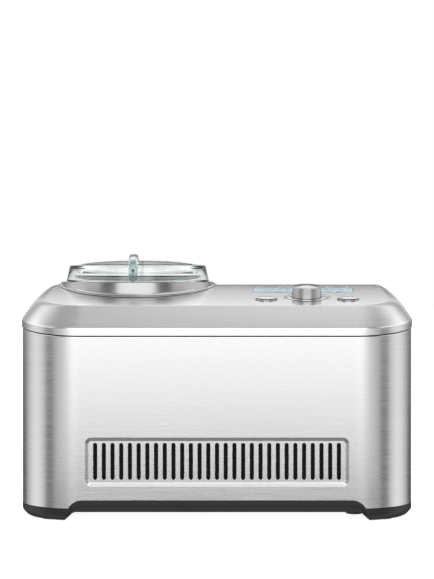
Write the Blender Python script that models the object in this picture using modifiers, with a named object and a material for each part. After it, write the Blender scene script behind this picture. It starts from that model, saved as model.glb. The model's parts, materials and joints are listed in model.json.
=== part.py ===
"""Countertop ice cream maker with its own compressor: a steel cabinet, a bowl well on the
left under a clear lid, and a knob, buttons and display on the right.

Metres, +X to the right, +Y to the back, +Z up. The origin is on the table, under the middle
of the cabinet."""
import math

import bmesh
import bpy
from mathutils import Matrix, Vector

# ---- Driving dimensions ----------------------------------------------------------------
OBJECT_NAME = "ice_cream_maker"
GAP = 0.0003                 # clearance between touching pieces

HALF_WIDTH = 0.1979          # rim of the top cover
HALF_DEPTH = 0.1415
CORNER_RADIUS = 0.064
CORNER_STEPS = 8             # facets in each rounded corner
SHEET = 0.0015               # sheet steel of the cover and the sleeve
SLEEVE_INSET = 0.0007        # the rim stands proud of the sleeve by this much

SEAM_FRONT = 0.1836          # height of the joint between cover and sleeve, at the front
SEAM_RISE = 0.0120           # how much higher that joint is at mid-depth
SEAM_GAP = 0.0012
RIM_HEIGHT = 0.0071
BEVEL_RUN_PER_RISE = 0.73    # the bevel above the rim: inward run for each unit of height
RIDGE_HEIGHT = 0.2324        # deck height at mid-depth
DECK_SLOPE = 0.145           # slope of the deck just off its ridge
DECK_CROWN = 0.231           # how much the deck steepens towards the front and back, per metre
RIDGE_SOFTNESS = 0.0024      # how round the ridge is
SIDE_LEVELS = (0.005, 0.011, 0.020, 0.038, 0.058)   # where the deck and the sides are divided

STEEL_LOW = 0.0134           # lower edge of the sleeve at the corners
ARCH_TOP = 0.0221            # the same edge between the corners
ARCH_HALF_X = 0.1321         # end of the raised stretch, front and back
ARCH_HALF_Y = 0.0645         # end of the raised stretch, left and right
ARCH_RADIUS = 0.0164
UNDERSIDE = 0.0101           # underside of the base between the feet
FOOT_BOTTOM = 0.0013         # underside of the moulded feet, above the pads
LIP_HEIGHT = 0.0047          # visible lip of the base under the steel
LIP_RECESS = 0.0030
FLOOR_TOP = 0.0145
TRAY_WALL_TOP = 0.0260
TRAY_WALL = 0.0030
FOOT_CHAMFER_TOP = 0.0080
FOOT_CHAMFER = 0.0055
FOOT_INNER_X = 0.1500        # inner edge of the feet at the table
FOOT_INNER_Y = 0.0930
FOOT_SLANT = 0.0090          # how far the inner side of a foot leans
PAD_X, PAD_Y, PAD_RADIUS = 0.1640, 0.1060, 0.0110
BOSS_X, BOSS_Y, BOSS_RADIUS = 0.1390, -0.0850, 0.0094

SLOT_PITCH = 0.00854
SLOT_WIDTH = 0.0041
FRONT_SLOTS, FRONT_SLOT_LOW, FRONT_SLOT_HIGH = 29, 0.0417, 0.0784
PANEL_HALF_X, PANEL_LOW, PANEL_HIGH = 0.1275, 0.0375, 0.0818
PANEL_DEPTH, PANEL_CORNER = 0.0006, 0.0050
REAR_SLOTS, REAR_SLOT_LOW, REAR_SLOT_HIGH, REAR_SLOT_X = 13, 0.0900, 0.1300, 0.0700

WELL_X = -0.0837             # axis of the bowl, the drive and the lid
COLLAR_TOP = 0.2354
COLLAR_RADIUS = 0.0809
COLLAR_FLARE = 0.0885         # reach of the flare at the front and back
COLLAR_FLARE_SIDE = 0.0836    # and at the sides, where the wall is low
COLLAR_LIP_RADIUS = 0.0718
COLLAR_INNER = 0.0785
COLLAR_LOW = 0.2120
WELL_HOLE_RADIUS = 0.0822

LID_RADIUS = 0.0754
LID_TOP_RADIUS = 0.0710
LID_EDGE_TOP = 0.2530
LID_CROWN = 0.2580
LID_WALL = 0.0030
LINER_RADIUS = 0.0702        # clear dish under the lid
LINER_EDGE = 0.2416           # its rim and its lowest point, upper side
LINER_MIDDLE = 0.2378
LINER_SHEET = 0.0015
HANDLE_WIDTH = 0.0095
HANDLE_TOP = 0.2640
HANDLE_TURN = math.radians(-1.0)
LUG_WIDTH = 0.0046

CONTROL_X, KNOB_Y = 0.0905, -0.0865
KNOB_RADIUS, KNOB_TOP_RADIUS, KNOB_HEIGHT = 0.0152, 0.0145, 0.0125
KNOB_RING_RADIUS = 0.0205
BUTTON_X_OFFSET, BUTTON_Y, BUTTON_RADIUS = 0.0410, -0.0970, 0.0110
SMALL_BUTTON_X = (0.0430, 0.0650, 0.1150, 0.1360)
SMALL_BUTTON_Y, SMALL_BUTTON_RADIUS = -0.0205, 0.0030
BUTTON_CLEARANCE = 0.0004
WINDOW_X, WINDOW_Y, WINDOW_WIDTH, WINDOW_DEPTH = 0.0890, -0.0472, 0.1030, 0.0285

BOWL_RADIUS, BOWL_FLANGE, BOWL_WALL = 0.0660, 0.0705, 0.0015
BOWL_TOP, BOWL_BOTTOM = 0.2305, 0.0970
TOWER_BORE, TOWER_RADIUS, TOWER_TOP = 0.0065, 0.0085, 0.1180
CAN_RADIUS, CAN_TOP, CAN_BOTTOM = 0.0670, 0.2287, 0.0910

GEAR_MODULE = 0.0015
GEAR_TEETH, PINION_TEETH = 40, 10
MOTOR_X = WELL_X + GEAR_MODULE * (GEAR_TEETH + PINION_TEETH) / 2
GEAR_LOW, GEAR_HIGH = 0.0640, 0.0720
GEARBOX_LOW, GEARBOX_TOP = 0.0576, 0.0800
SHAFT_RADIUS, SHAFT_LOW, SHAFT_TOP = 0.0050, 0.0620, 0.1255
MOTOR_RADIUS, MOTOR_LOW, MOTOR_TOP = 0.0280, 0.0148, 0.0570

COMPRESSOR_X, COMPRESSOR_Y, COMPRESSOR_RADIUS = 0.0760, 0.0200, 0.0460
COMPRESSOR_LOW, COMPRESSOR_SHOULDER, COMPRESSOR_TOP = 0.0260, 0.1280, 0.1460
FAN_X, FAN_Z, FAN_RADIUS = 0.1380, 0.0800, 0.0440
CONDENSER_X, CONDENSER_HALF_Y, CONDENSER_LOW, CONDENSER_HIGH = 0.1580, 0.0620, 0.0300, 0.1280
CONDENSER_THICKNESS, FIN_COUNT = 0.0260, 12
TUBE_RADIUS = 0.0030
INLET_X, INLET_Z = 0.1000, 0.0540
INLET_PLATE_X, INLET_PLATE_Z = 0.0320, 0.0230    # half the length and height of its surround
INLET_PLATE_CORNER = 0.0040


# ---- Scene, collections and materials ---------------------------------------------------
def clear_scene():
    for old in list(bpy.data.objects):
        bpy.data.objects.remove(old, do_unlink=True)


def new_collection(name):
    collection = bpy.data.collections.new(name)
    bpy.context.scene.collection.children.link(collection)
    return collection


def make_material(name, colour, roughness, metallic, alpha=1.0):
    material = bpy.data.materials.new(name)
    material.use_nodes = True
    shader = material.node_tree.nodes["Principled BSDF"]
    shader.inputs["Base Color"].default_value = (*colour, 1.0)
    shader.inputs["Roughness"].default_value = roughness
    shader.inputs["Metallic"].default_value = metallic
    shader.inputs["Alpha"].default_value = alpha
    material.diffuse_color = (*colour, alpha)
    return material


clear_scene()
PARTS = new_collection(OBJECT_NAME)
CUTTERS = new_collection(OBJECT_NAME + "_cutters")

STEEL = make_material("brushed_steel", (0.78, 0.78, 0.78), 0.30, 1.0)
CHROME = make_material("polished_chrome", (0.85, 0.85, 0.86), 0.08, 1.0)
CLEAR = make_material("clear_plastic", (0.80, 0.88, 0.86), 0.05, 0.0, 0.35)
BLACK = make_material("black_plastic", (0.03, 0.03, 0.03), 0.45, 0.0)
RUBBER = make_material("dark_rubber", (0.02, 0.02, 0.02), 0.85, 0.0)
DISPLAY = make_material("display_blue", (0.50, 0.70, 0.78), 0.15, 0.0)
BOARD = make_material("circuit_board", (0.03, 0.18, 0.07), 0.50, 0.0)
ALUMINIUM = make_material("aluminium", (0.70, 0.71, 0.72), 0.35, 1.0)
COPPER = make_material("copper_tube", (0.72, 0.38, 0.22), 0.30, 1.0)
FOAM = make_material("insulation_foam", (0.85, 0.80, 0.62), 0.90, 0.0)
NYLON = make_material("white_nylon", (0.85, 0.84, 0.80), 0.45, 0.0)
ENAMEL = make_material("black_enamel", (0.02, 0.02, 0.02), 0.35, 0.2)


def finish(obj, name, material):
    """Name a piece, give it its material and put it among the parts."""
    obj.name = name
    obj.data.name = name
    obj.data.materials.clear()
    obj.data.materials.append(material)
    move_to(obj, PARTS)
    if obj.type == "MESH":
        obj.data.shade_smooth()
        obj.data.set_sharp_from_angle(angle=math.radians(35.0))
    return obj


def move_to(obj, collection):
    for owner in list(obj.users_collection):
        owner.objects.unlink(obj)
    collection.objects.link(obj)


def as_cutter(obj, name):
    obj.name = name
    obj.hide_render = True
    obj.display_type = "WIRE"
    move_to(obj, CUTTERS)
    return obj


def combine(target, tool, operation):
    """Boolean the tool with the target, as a modifier that stays on the target."""
    modifier = target.modifiers.new(operation.lower() + "_" + tool.name, "BOOLEAN")
    modifier.operation = operation
    modifier.solver = "EXACT"
    modifier.object = tool
    return target


def cut(target, *tools):
    for tool in tools:
        combine(target, tool, "DIFFERENCE")
    return target


def join(target, *tools):
    for tool in tools:
        combine(target, tool, "UNION")
    return target


# ---- Shape tools ------------------------------------------------------------------------
def object_from_bmesh(bm, name, location=(0, 0, 0), rotation=(0, 0, 0)):
    bmesh.ops.recalc_face_normals(bm, faces=bm.faces)
    mesh = bpy.data.meshes.new(name)
    bm.to_mesh(mesh)
    bm.free()
    obj = bpy.data.objects.new(name, mesh)
    obj.location = location
    obj.rotation_euler = rotation
    CUTTERS.objects.link(obj)
    return obj


def loft(name, rings, closed=False, location=(0, 0, 0), rotation=(0, 0, 0)):
    """A skin over rings of equal length: capped at both ends, or closed on itself."""
    bm = bmesh.new()
    layers = [[bm.verts.new(point) for point in ring] for ring in rings]
    pairs = list(zip(layers, layers[1:]))
    if closed:
        pairs.append((layers[-1], layers[0]))
    else:
        bm.faces.new(layers[0])
        bm.faces.new(layers[-1])
    for lower, upper in pairs:
        count = len(lower)
        for i in range(count):
            j = (i + 1) % count
            bm.faces.new((lower[i], lower[j], upper[j], upper[i]))
    return object_from_bmesh(bm, name, location, rotation)


def turned(name, profile, steps, location=(0, 0, 0), rotation=(0, 0, 0), ring=False):
    """A turned piece. The profile is (radius, height), down the outer side first; a ring's
    profile closes on itself, any other starts and ends on the axis."""
    mesh = bpy.data.meshes.new(name)
    points = [(radius, 0.0, height) for radius, height in profile]
    edges = [(i, i + 1) for i in range(len(points) - 1)]
    if ring:
        edges.append((len(points) - 1, 0))
    mesh.from_pydata(points, edges, [])
    obj = bpy.data.objects.new(name, mesh)
    obj.location = location
    obj.rotation_euler = rotation
    CUTTERS.objects.link(obj)
    screw = obj.modifiers.new("turn", "SCREW")
    screw.steps = steps
    screw.render_steps = steps
    screw.use_merge_vertices = True
    screw.merge_threshold = 0.00001
    screw.use_smooth_shade = True
    return obj


def cylinder(name, radius, low, high, centre=(0, 0), steps=24):
    """An upright cylinder from one height to another."""
    middle = (centre[0], centre[1], (low + high) / 2)
    bpy.ops.mesh.primitive_cylinder_add(vertices=steps, radius=radius, depth=high - low, location=middle)
    obj = bpy.context.object
    obj.name = name
    move_to(obj, CUTTERS)
    return obj


def block(name, low, high, bevel=0.0, rotation=(0, 0, 0)):
    """A box between two corners, turned about its middle, with optional rounded edges."""
    low, high = Vector(low), Vector(high)
    bpy.ops.mesh.primitive_cube_add(size=1.0, location=(low + high) / 2)
    obj = bpy.context.object
    obj.name = name
    obj.data.transform(Matrix.Diagonal((*(high - low), 1.0)))
    obj.rotation_euler = rotation
    move_to(obj, CUTTERS)
    if bevel:
        rounding = obj.modifiers.new("rounding", "BEVEL")
        rounding.width = bevel
        rounding.segments = 2
    return obj


def pipe(name, points, radius):
    """A round tube along points, each given as (x, y, z)."""
    curve = bpy.data.curves.new(name, "CURVE")
    curve.dimensions = "3D"
    curve.bevel_depth = radius
    curve.bevel_resolution = 2
    curve.use_fill_caps = True
    spline = curve.splines.new("POLY")
    spline.points.add(len(points) - 1)
    for slot, point in zip(spline.points, points):
        slot.co = (*point, 1.0)
    obj = bpy.data.objects.new(name, curve)
    PARTS.objects.link(obj)
    return obj


def extruded(name, outline, along, low, high):
    """A flat outline of (u, v) points, pushed along one axis between two positions."""
    place = {
        "X": lambda u, v, w: (w, u, v),
        "Y": lambda u, v, w: (u, w, v),
        "Z": lambda u, v, w: (u, v, w),
    }[along]
    return loft(name, [[place(u, v, w) for u, v in outline] for w in (low, high)])


def arc(centre_u, centre_v, radius, start, end, steps):
    """Points on an arc, with angles in degrees."""
    points = []
    for i in range(steps + 1):
        angle = math.radians(start + (end - start) * i / steps)
        points.append((centre_u + radius * math.cos(angle), centre_v + radius * math.sin(angle)))
    return points


def rounded_rectangle(half_u, half_v, radius, steps=3):
    points = []
    for sign_u, sign_v, start in ((1, 1, 0), (-1, 1, 90), (-1, -1, 180), (1, -1, 270)):
        centre = (sign_u * (half_u - radius), sign_v * (half_v - radius))
        points += arc(*centre, radius, start, start + 90, steps)
    return points


# ---- Cabinet geometry -------------------------------------------------------------------
def cabinet_outline(inset=0.0):
    """The cabinet's outline as (x, y, normal x, normal y), pulled in by inset, starting at the
    middle of the right side. The sides also have points at the deck's division levels."""
    levels = [0.0, *SIDE_LEVELS]
    flat_y = HALF_DEPTH - CORNER_RADIUS
    radius = CORNER_RADIUS - inset
    points = [(HALF_WIDTH - inset, y, 1.0, 0.0) for y in levels]
    for sign_x, sign_y, start in ((1, 1, 0), (-1, 1, 90)):
        centre_x = sign_x * (HALF_WIDTH - CORNER_RADIUS)
        for i in range(CORNER_STEPS + 1):
            angle = math.radians(start + 90.0 * i / CORNER_STEPS)
            normal = (math.cos(angle), math.sin(angle))
            points.append((centre_x + radius * normal[0], sign_y * flat_y + radius * normal[1], *normal))
    points += [(-HALF_WIDTH + inset, y, -1.0, 0.0) for y in reversed(levels)]
    back_half = points[1:-1]
    points += [(-x, -y, -nx, -ny) for x, y, nx, ny in back_half]
    return points


def outline_ring(inset, height):
    """One ring of the cabinet's outline; height is a number or a function of y."""
    level = height if callable(height) else (lambda y: height)
    return [(x, y, level(y)) for x, y, _, _ in cabinet_outline(inset)]


def seam_height(y):
    return SEAM_FRONT + SEAM_RISE * (1.0 - (y / HALF_DEPTH) ** 2)


def deck_height(y):
    pitch = math.hypot(DECK_SLOPE * y, RIDGE_SOFTNESS) - RIDGE_SOFTNESS
    return RIDGE_HEIGHT - pitch - DECK_CROWN * y * y


def deck_tilt(y):
    """Angle about +X that lays a piece flat on the deck at this y."""
    slope = -DECK_SLOPE**2 * y / math.hypot(DECK_SLOPE * y, RIDGE_SOFTNESS)
    return math.atan(slope - 2 * DECK_CROWN * y)


def crease_ring():
    """The edge between bevel and deck: the bevel runs inwards at one angle until it meets the deck."""
    ring = []
    for x, y, nx, ny in cabinet_outline():
        base = seam_height(y) + RIM_HEIGHT
        run = 0.0
        for _ in range(12):
            run = BEVEL_RUN_PER_RISE * (deck_height(y - ny * run) - base)
        inner_y = y - ny * run
        ring.append((x - nx * run, inner_y, deck_height(inner_y)))
    return ring


def arch_profile(drop):
    """The raised lower edge from its flat stretch outwards: (distance from that stretch, height)."""
    top = ARCH_TOP - drop
    low = STEEL_LOW - drop
    end = math.sqrt(ARCH_RADIUS**2 - (ARCH_RADIUS - (top - low)) ** 2)
    points = []
    for i in range(6):
        run = end * i / 5
        points.append((run, top - ARCH_RADIUS + math.sqrt(ARCH_RADIUS**2 - run**2)))
    return points


def arch_cutter(name, along, half_flat, drop):
    """A bar under the raised lower edge, running right through the cabinet."""
    edge = [(half_flat + run, height) for run, height in arch_profile(drop)]
    outline = edge + [(edge[-1][0], -0.01), (-edge[-1][0], -0.01)]
    outline += [(-u, v) for u, v in reversed(edge)]
    return as_cutter(extruded(name, outline, along, -0.25, 0.25), name)


def cabinet_block(name, inset, low, high):
    return loft(name, [outline_ring(inset, low), outline_ring(inset, high)])


def slots_cutter(name, centre_x, count, low, high, near_y, far_y):
    """A row of upright round-ended slots, as separate bars in one cutter."""
    bm = bmesh.new()
    half = SLOT_WIDTH / 2
    for i in range(count):
        x = centre_x + (i - (count - 1) / 2) * SLOT_PITCH
        outline = arc(x, high - half, half, 0, 180, 4) + arc(x, low + half, half, 180, 360, 4)
        near = [bm.verts.new((u, near_y, v)) for u, v in outline]
        far = [bm.verts.new((u, far_y, v)) for u, v in outline]
        bm.faces.new(near)
        bm.faces.new(far)
        for k in range(len(outline)):
            n = (k + 1) % len(outline)
            bm.faces.new((near[k], near[n], far[n], far[k]))
    return as_cutter(object_from_bmesh(bm, name), name)


def deck_place(x, y, lift=0.0):
    """Location and rotation of a piece that stands on the deck."""
    tilt = deck_tilt(y)
    location = (x, y - lift * math.sin(tilt), deck_height(y) + lift * math.cos(tilt))
    return location, (tilt, 0.0, 0.0)


def deck_hole(name, x, y, radius):
    """A round cutter that stands square to the deck."""
    location, rotation = deck_place(x, y)
    hole = cylinder(name, radius, -0.02, 0.02)
    hole.location = location
    hole.rotation_euler = rotation
    return as_cutter(hole, name)


def build_top_cover():
    """Rim, bevel and deck as one sheet, thickened inwards, then pierced for the well and controls."""
    bm = bmesh.new()
    rings = [
        outline_ring(0.0, seam_height),
        outline_ring(0.0, lambda y: seam_height(y) + RIM_HEIGHT),
        crease_ring(),
    ]
    layers = [[bm.verts.new(point) for point in ring] for ring in rings]
    count = len(layers[0])
    for lower, upper in zip(layers, layers[1:]):
        for i in range(count):
            j = (i + 1) % count
            bm.faces.new((lower[i], lower[j], upper[j], upper[i]))
    crease = layers[2]
    opposite = count // 2
    reach = (opposite - 1) // 2
    for i in range(-reach, reach):
        bm.faces.new((crease[i], crease[i + 1], crease[opposite - i - 1], crease[opposite - i]))
    cover = object_from_bmesh(bm, "top_cover")
    thick = cover.modifiers.new("sheet", "SOLIDIFY")
    thick.thickness = SHEET
    thick.offset = -1.0
    thick.use_even_offset = True

    well = as_cutter(cylinder("well_hole", WELL_HOLE_RADIUS, 0.18, 0.26, (WELL_X, 0.0), 48), "well_hole")
    cut(cover, well, deck_hole("knob_hole", CONTROL_X, KNOB_Y, 0.0040))
    for label, side in (("power", -1), ("start", 1)):
        x = CONTROL_X + side * BUTTON_X_OFFSET
        cut(cover, deck_hole(label + "_hole", x, BUTTON_Y, BUTTON_RADIUS + BUTTON_CLEARANCE))
    for i, x in enumerate(SMALL_BUTTON_X):
        hole = deck_hole(f"small_hole_{i + 1}", x, SMALL_BUTTON_Y, SMALL_BUTTON_RADIUS + BUTTON_CLEARANCE)
        cut(cover, hole)
    aperture = window_block("window_hole", GAP, -0.02, 0.02)
    cut(cover, as_cutter(aperture, "window_hole"))
    return finish(cover, "top_cover", STEEL)


def window_block(name, grow, low, high):
    """A rounded slab lying in the deck where the display is."""
    outline = rounded_rectangle(WINDOW_WIDTH / 2 + grow, WINDOW_DEPTH / 2 + grow, 0.003)
    slab = extruded(name, outline, "Z", low, high)
    slab.location, slab.rotation_euler = deck_place(WINDOW_X, WINDOW_Y)
    return slab


def inlet_slab(name, half_x, half_z, corner, near, far):
    """A rounded slab in the rear wall, round the appliance inlet."""
    outline = [(u + INLET_X, v + INLET_Z) for u, v in rounded_rectangle(half_x, half_z, corner)]
    return extruded(name, outline, "Y", near, far)


def build_body_sleeve():
    """Wrapped sheet from the seam down to the base, with its vents and raised lower edge."""
    rings = [
        outline_ring(SLEEVE_INSET, STEEL_LOW),
        outline_ring(SLEEVE_INSET, lambda y: seam_height(y) - SEAM_GAP),
        outline_ring(SLEEVE_INSET + SHEET, lambda y: seam_height(y) - SEAM_GAP),
        outline_ring(SLEEVE_INSET + SHEET, STEEL_LOW),
    ]
    sleeve = loft("body_sleeve", rings, closed=True)
    face_y = -HALF_DEPTH + SLEEVE_INSET
    outline = rounded_rectangle(PANEL_HALF_X, (PANEL_HIGH - PANEL_LOW) / 2, PANEL_CORNER)
    middle = (PANEL_HIGH + PANEL_LOW) / 2
    outline = [(u, v + middle) for u, v in outline]
    panel = extruded("vent_panel_recess", outline, "Y", face_y - 0.01, face_y + PANEL_DEPTH)
    front_slots = slots_cutter("front_slots", 0.0, FRONT_SLOTS, FRONT_SLOT_LOW, FRONT_SLOT_HIGH,
                               face_y - 0.01, face_y + 0.01)
    rear_slots = slots_cutter("rear_slots", REAR_SLOT_X, REAR_SLOTS, REAR_SLOT_LOW, REAR_SLOT_HIGH,
                              -face_y - 0.01, -face_y + 0.01)
    inlet = inlet_slab("inlet_hole", INLET_PLATE_X + GAP, INLET_PLATE_Z + GAP,
                       INLET_PLATE_CORNER + GAP, 0.12, 0.16)
    cut(sleeve, arch_cutter("steel_arch_front", "Y", ARCH_HALF_X, 0.0))
    cut(sleeve, arch_cutter("steel_arch_side", "X", ARCH_HALF_Y, 0.0))
    cut(sleeve, as_cutter(panel, "vent_panel_recess"), as_cutter(inlet, "inlet_hole"))
    cut(sleeve, front_slots, rear_slots)
    return finish(sleeve, "body_sleeve", STEEL)


def sleeve_room():
    """The space the sleeve takes, with clearance, that the base leaves free."""
    inner = SLEEVE_INSET + SHEET + GAP
    low = STEEL_LOW - GAP
    rings = [outline_ring(-0.002, low), outline_ring(-0.002, 0.04),
             outline_ring(inner, 0.04), outline_ring(inner, low)]
    room = as_cutter(loft("sleeve_room", rings, closed=True), "sleeve_room")
    cut(room, arch_cutter("room_arch_front", "Y", ARCH_HALF_X, GAP))
    cut(room, arch_cutter("room_arch_side", "X", ARCH_HALF_Y, GAP))
    return room


def lip_recess():
    """What is cut away under the lip, between the feet, so that the lip stands proud."""
    rings = [outline_ring(-0.002, -0.01), outline_ring(-0.002, 0.03),
             outline_ring(SLEEVE_INSET + LIP_RECESS, 0.03), outline_ring(SLEEVE_INSET + LIP_RECESS, -0.01)]
    recess = as_cutter(loft("lip_recess", rings, closed=True), "lip_recess")
    front = arch_cutter("recess_arch_front", "Y", ARCH_HALF_X, LIP_HEIGHT)
    side = arch_cutter("recess_arch_side", "X", ARCH_HALF_Y, LIP_HEIGHT)
    join(front, side)
    combine(recess, front, "INTERSECT")
    return recess


def foot_gap(name, along, half_low):
    """The free space between two feet, wider at the table than at the underside."""
    half_high = half_low - FOOT_SLANT
    outline = [(-half_low, FOOT_BOTTOM), (-half_low, -0.01), (half_low, -0.01), (half_low, FOOT_BOTTOM),
               (half_high, UNDERSIDE), (-half_high, UNDERSIDE)]
    return as_cutter(extruded(name, outline, along, -0.25, 0.25), name)


def base_screw_places():
    return [(x, y) for x in (-0.105, 0.105) for y in (-0.075, 0.075)]


def build_base_tray():
    """Moulded tray: floor, low wall inside the sleeve, lip below the steel and four corner feet."""
    flush = SLEEVE_INSET
    rings = [
        outline_ring(flush + FOOT_CHAMFER, FOOT_BOTTOM),
        outline_ring(flush, FOOT_CHAMFER_TOP),
        outline_ring(flush, TRAY_WALL_TOP),
    ]
    tray = loft("base_tray", rings)
    pocket_inset = flush + SHEET + GAP + TRAY_WALL
    pocket = as_cutter(cabinet_block("tray_pocket", pocket_inset, FLOOR_TOP, 0.05), "tray_pocket")
    cut(tray, pocket, sleeve_room(), lip_recess())
    cut(tray, foot_gap("gap_between_feet_x", "Y", FOOT_INNER_X))
    cut(tray, foot_gap("gap_between_feet_y", "X", FOOT_INNER_Y))
    for i, place in enumerate(base_screw_places()):
        name = f"base_screw_hole_{i + 1}"
        cut(tray, as_cutter(cylinder(name, 0.0020, 0.005, 0.02, place, 12), name))
    boss_low = 0.0015
    profile = [(0, UNDERSIDE + 0.001), (BOSS_RADIUS, UNDERSIDE + 0.001), (BOSS_RADIUS, boss_low + 0.0015),
               (BOSS_RADIUS - 0.0015, boss_low), (0, boss_low)]
    boss = turned("boss", profile, 20, (BOSS_X, BOSS_Y, 0))
    join(tray, as_cutter(boss, "boss"))
    return finish(tray, "base_tray", BLACK)


def build_feet_and_screws():
    for label_x, sign_x in (("left", -1), ("right", 1)):
        for label_y, sign_y in (("front", -1), ("rear", 1)):
            top = FOOT_BOTTOM - GAP
            pad = cylinder("pad", PAD_RADIUS, 0.0, top, (sign_x * PAD_X, sign_y * PAD_Y), 20)
            finish(pad, f"foot_pad_{label_y}_{label_x}", RUBBER)
    head_top = UNDERSIDE - GAP
    profile = [(0, 0.0220), (0.0015, 0.0210), (0.0015, head_top), (0.0036, head_top),
               (0.0036, head_top - 0.0012), (0.0026, head_top - 0.0020), (0, head_top - 0.0020)]
    for i, (x, y) in enumerate(base_screw_places()):
        finish(turned("screw", profile, 12, (x, y, 0)), f"base_screw_{i + 1}", CHROME)


# ---- Collar, lid and handle -------------------------------------------------------------
def build_bowl_collar():
    """Polished ring: level on top, flared onto the pitched deck below."""
    steps = 36
    sections = []
    for i in range(steps):
        angle = 2 * math.pi * i / steps
        flare = COLLAR_FLARE_SIDE + (COLLAR_FLARE - COLLAR_FLARE_SIDE) * math.sin(angle) ** 2
        deck = deck_height(flare * math.sin(angle)) + GAP
        wall_low = min(deck + 0.0040, COLLAR_TOP - 0.0012)
        mid = min(deck + 0.0012, COLLAR_TOP - 0.0020)
        seat = deck_height((COLLAR_RADIUS + 0.0004) * math.sin(angle)) + GAP
        profile = [
            (COLLAR_LIP_RADIUS, COLLAR_TOP), (COLLAR_RADIUS - 0.0008, COLLAR_TOP),
            (COLLAR_RADIUS, COLLAR_TOP - 0.0008), (COLLAR_RADIUS + 0.0002, wall_low),
            ((COLLAR_RADIUS + flare) / 2 - 0.0004, mid + 0.0004), (flare, deck + 0.0008),
            (flare, deck), (COLLAR_RADIUS + 0.0004, seat),
            (COLLAR_RADIUS, COLLAR_LOW), (COLLAR_INNER, COLLAR_LOW),
            (COLLAR_INNER, COLLAR_TOP - 0.0039), (COLLAR_LIP_RADIUS, COLLAR_TOP - 0.0039),
        ]
        sections.append([(WELL_X + r * math.cos(angle), r * math.sin(angle), z) for r, z in profile])
    return finish(loft("bowl_collar", sections, closed=True), "bowl_collar", CHROME)


def build_lid():
    """Clear dished lid, open below: slanted wall and a slightly crowned top."""
    low = COLLAR_TOP + GAP
    crown_drop = LID_CROWN - LID_EDGE_TOP
    outer = []
    for i in range(5):
        radius = LID_TOP_RADIUS * i / 4
        outer.append((radius, LID_CROWN - crown_drop * (radius / LID_TOP_RADIUS) ** 2))
    inner_low = LID_RADIUS - LID_WALL
    inner_top = LID_TOP_RADIUS - LID_WALL
    inner = []
    for i in range(4, -1, -1):
        radius = inner_top * i / 4
        inner.append((radius, LID_CROWN - LID_WALL - crown_drop * (radius / inner_top) ** 2))
    profile = outer + [(LID_RADIUS, low), (inner_low, low)] + inner
    return finish(turned("lid", profile, 36, (WELL_X, 0, 0)), "lid", CLEAR)


def build_lid_liner():
    """Shallow clear dish that closes the lid from below and bulges down over the bowl."""
    rise = LINER_EDGE - LINER_MIDDLE
    upper = []
    for i in range(6):
        share = i / 5
        upper.append((LINER_RADIUS * share, LINER_MIDDLE + rise * share**2))
    lower = [(radius, height - LINER_SHEET) for radius, height in reversed(upper)]
    return finish(turned("lid_liner", upper + lower, 36, (WELL_X, 0, 0)), "lid_liner", CLEAR)


def lid_grip(name, outline, half_width, rounding):
    """A clear moulding on the lid's wall: a side view (distance from the axis, height), given width."""
    grip = extruded(name, outline, "X", -half_width, half_width)
    soft = grip.modifiers.new("rounding", "BEVEL")
    soft.width = rounding
    soft.segments = 2
    soft.limit_method = "ANGLE"
    soft.angle_limit = math.radians(60)
    grip.location = (WELL_X, 0, 0)
    grip.rotation_euler = (0, 0, HANDLE_TURN)
    return finish(grip, name, CLEAR)


def build_lid_handle():
    """Clear finger grip that stands over the lid's front edge, and a low lug opposite it."""
    low = COLLAR_TOP + GAP
    wall = LID_RADIUS + GAP + 0.0001
    outer = [(wall + 0.0026, low), (wall + 0.0026, 0.2440), (wall + 0.0019, 0.2515), (0.0762, 0.2575),
             (0.0738, 0.2614), (0.0700, 0.2635), (0.0650, HANDLE_TOP), (0.0585, 0.2629), (0.0510, 0.2598)]
    inner = [(0.0440, 0.2575), (0.0440, 0.2566), (0.0650, 0.2544)]
    inner += [(LID_TOP_RADIUS + 0.0006, LID_EDGE_TOP + 0.0008), (LID_TOP_RADIUS + 0.0012, LID_EDGE_TOP - 0.0010),
              (wall, low)]
    lid_grip("lid_handle", [(-u, v) for u, v in outer + inner], HANDLE_WIDTH / 2, 0.0016)
    lug = [(wall + 0.0026, low), (wall + 0.0019, 0.2480), (0.0752, 0.2520), (LID_TOP_RADIUS + 0.0013, 0.2520),
           (wall, low)]
    lid_grip("lid_lug", lug, LUG_WIDTH / 2, 0.0005)


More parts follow.
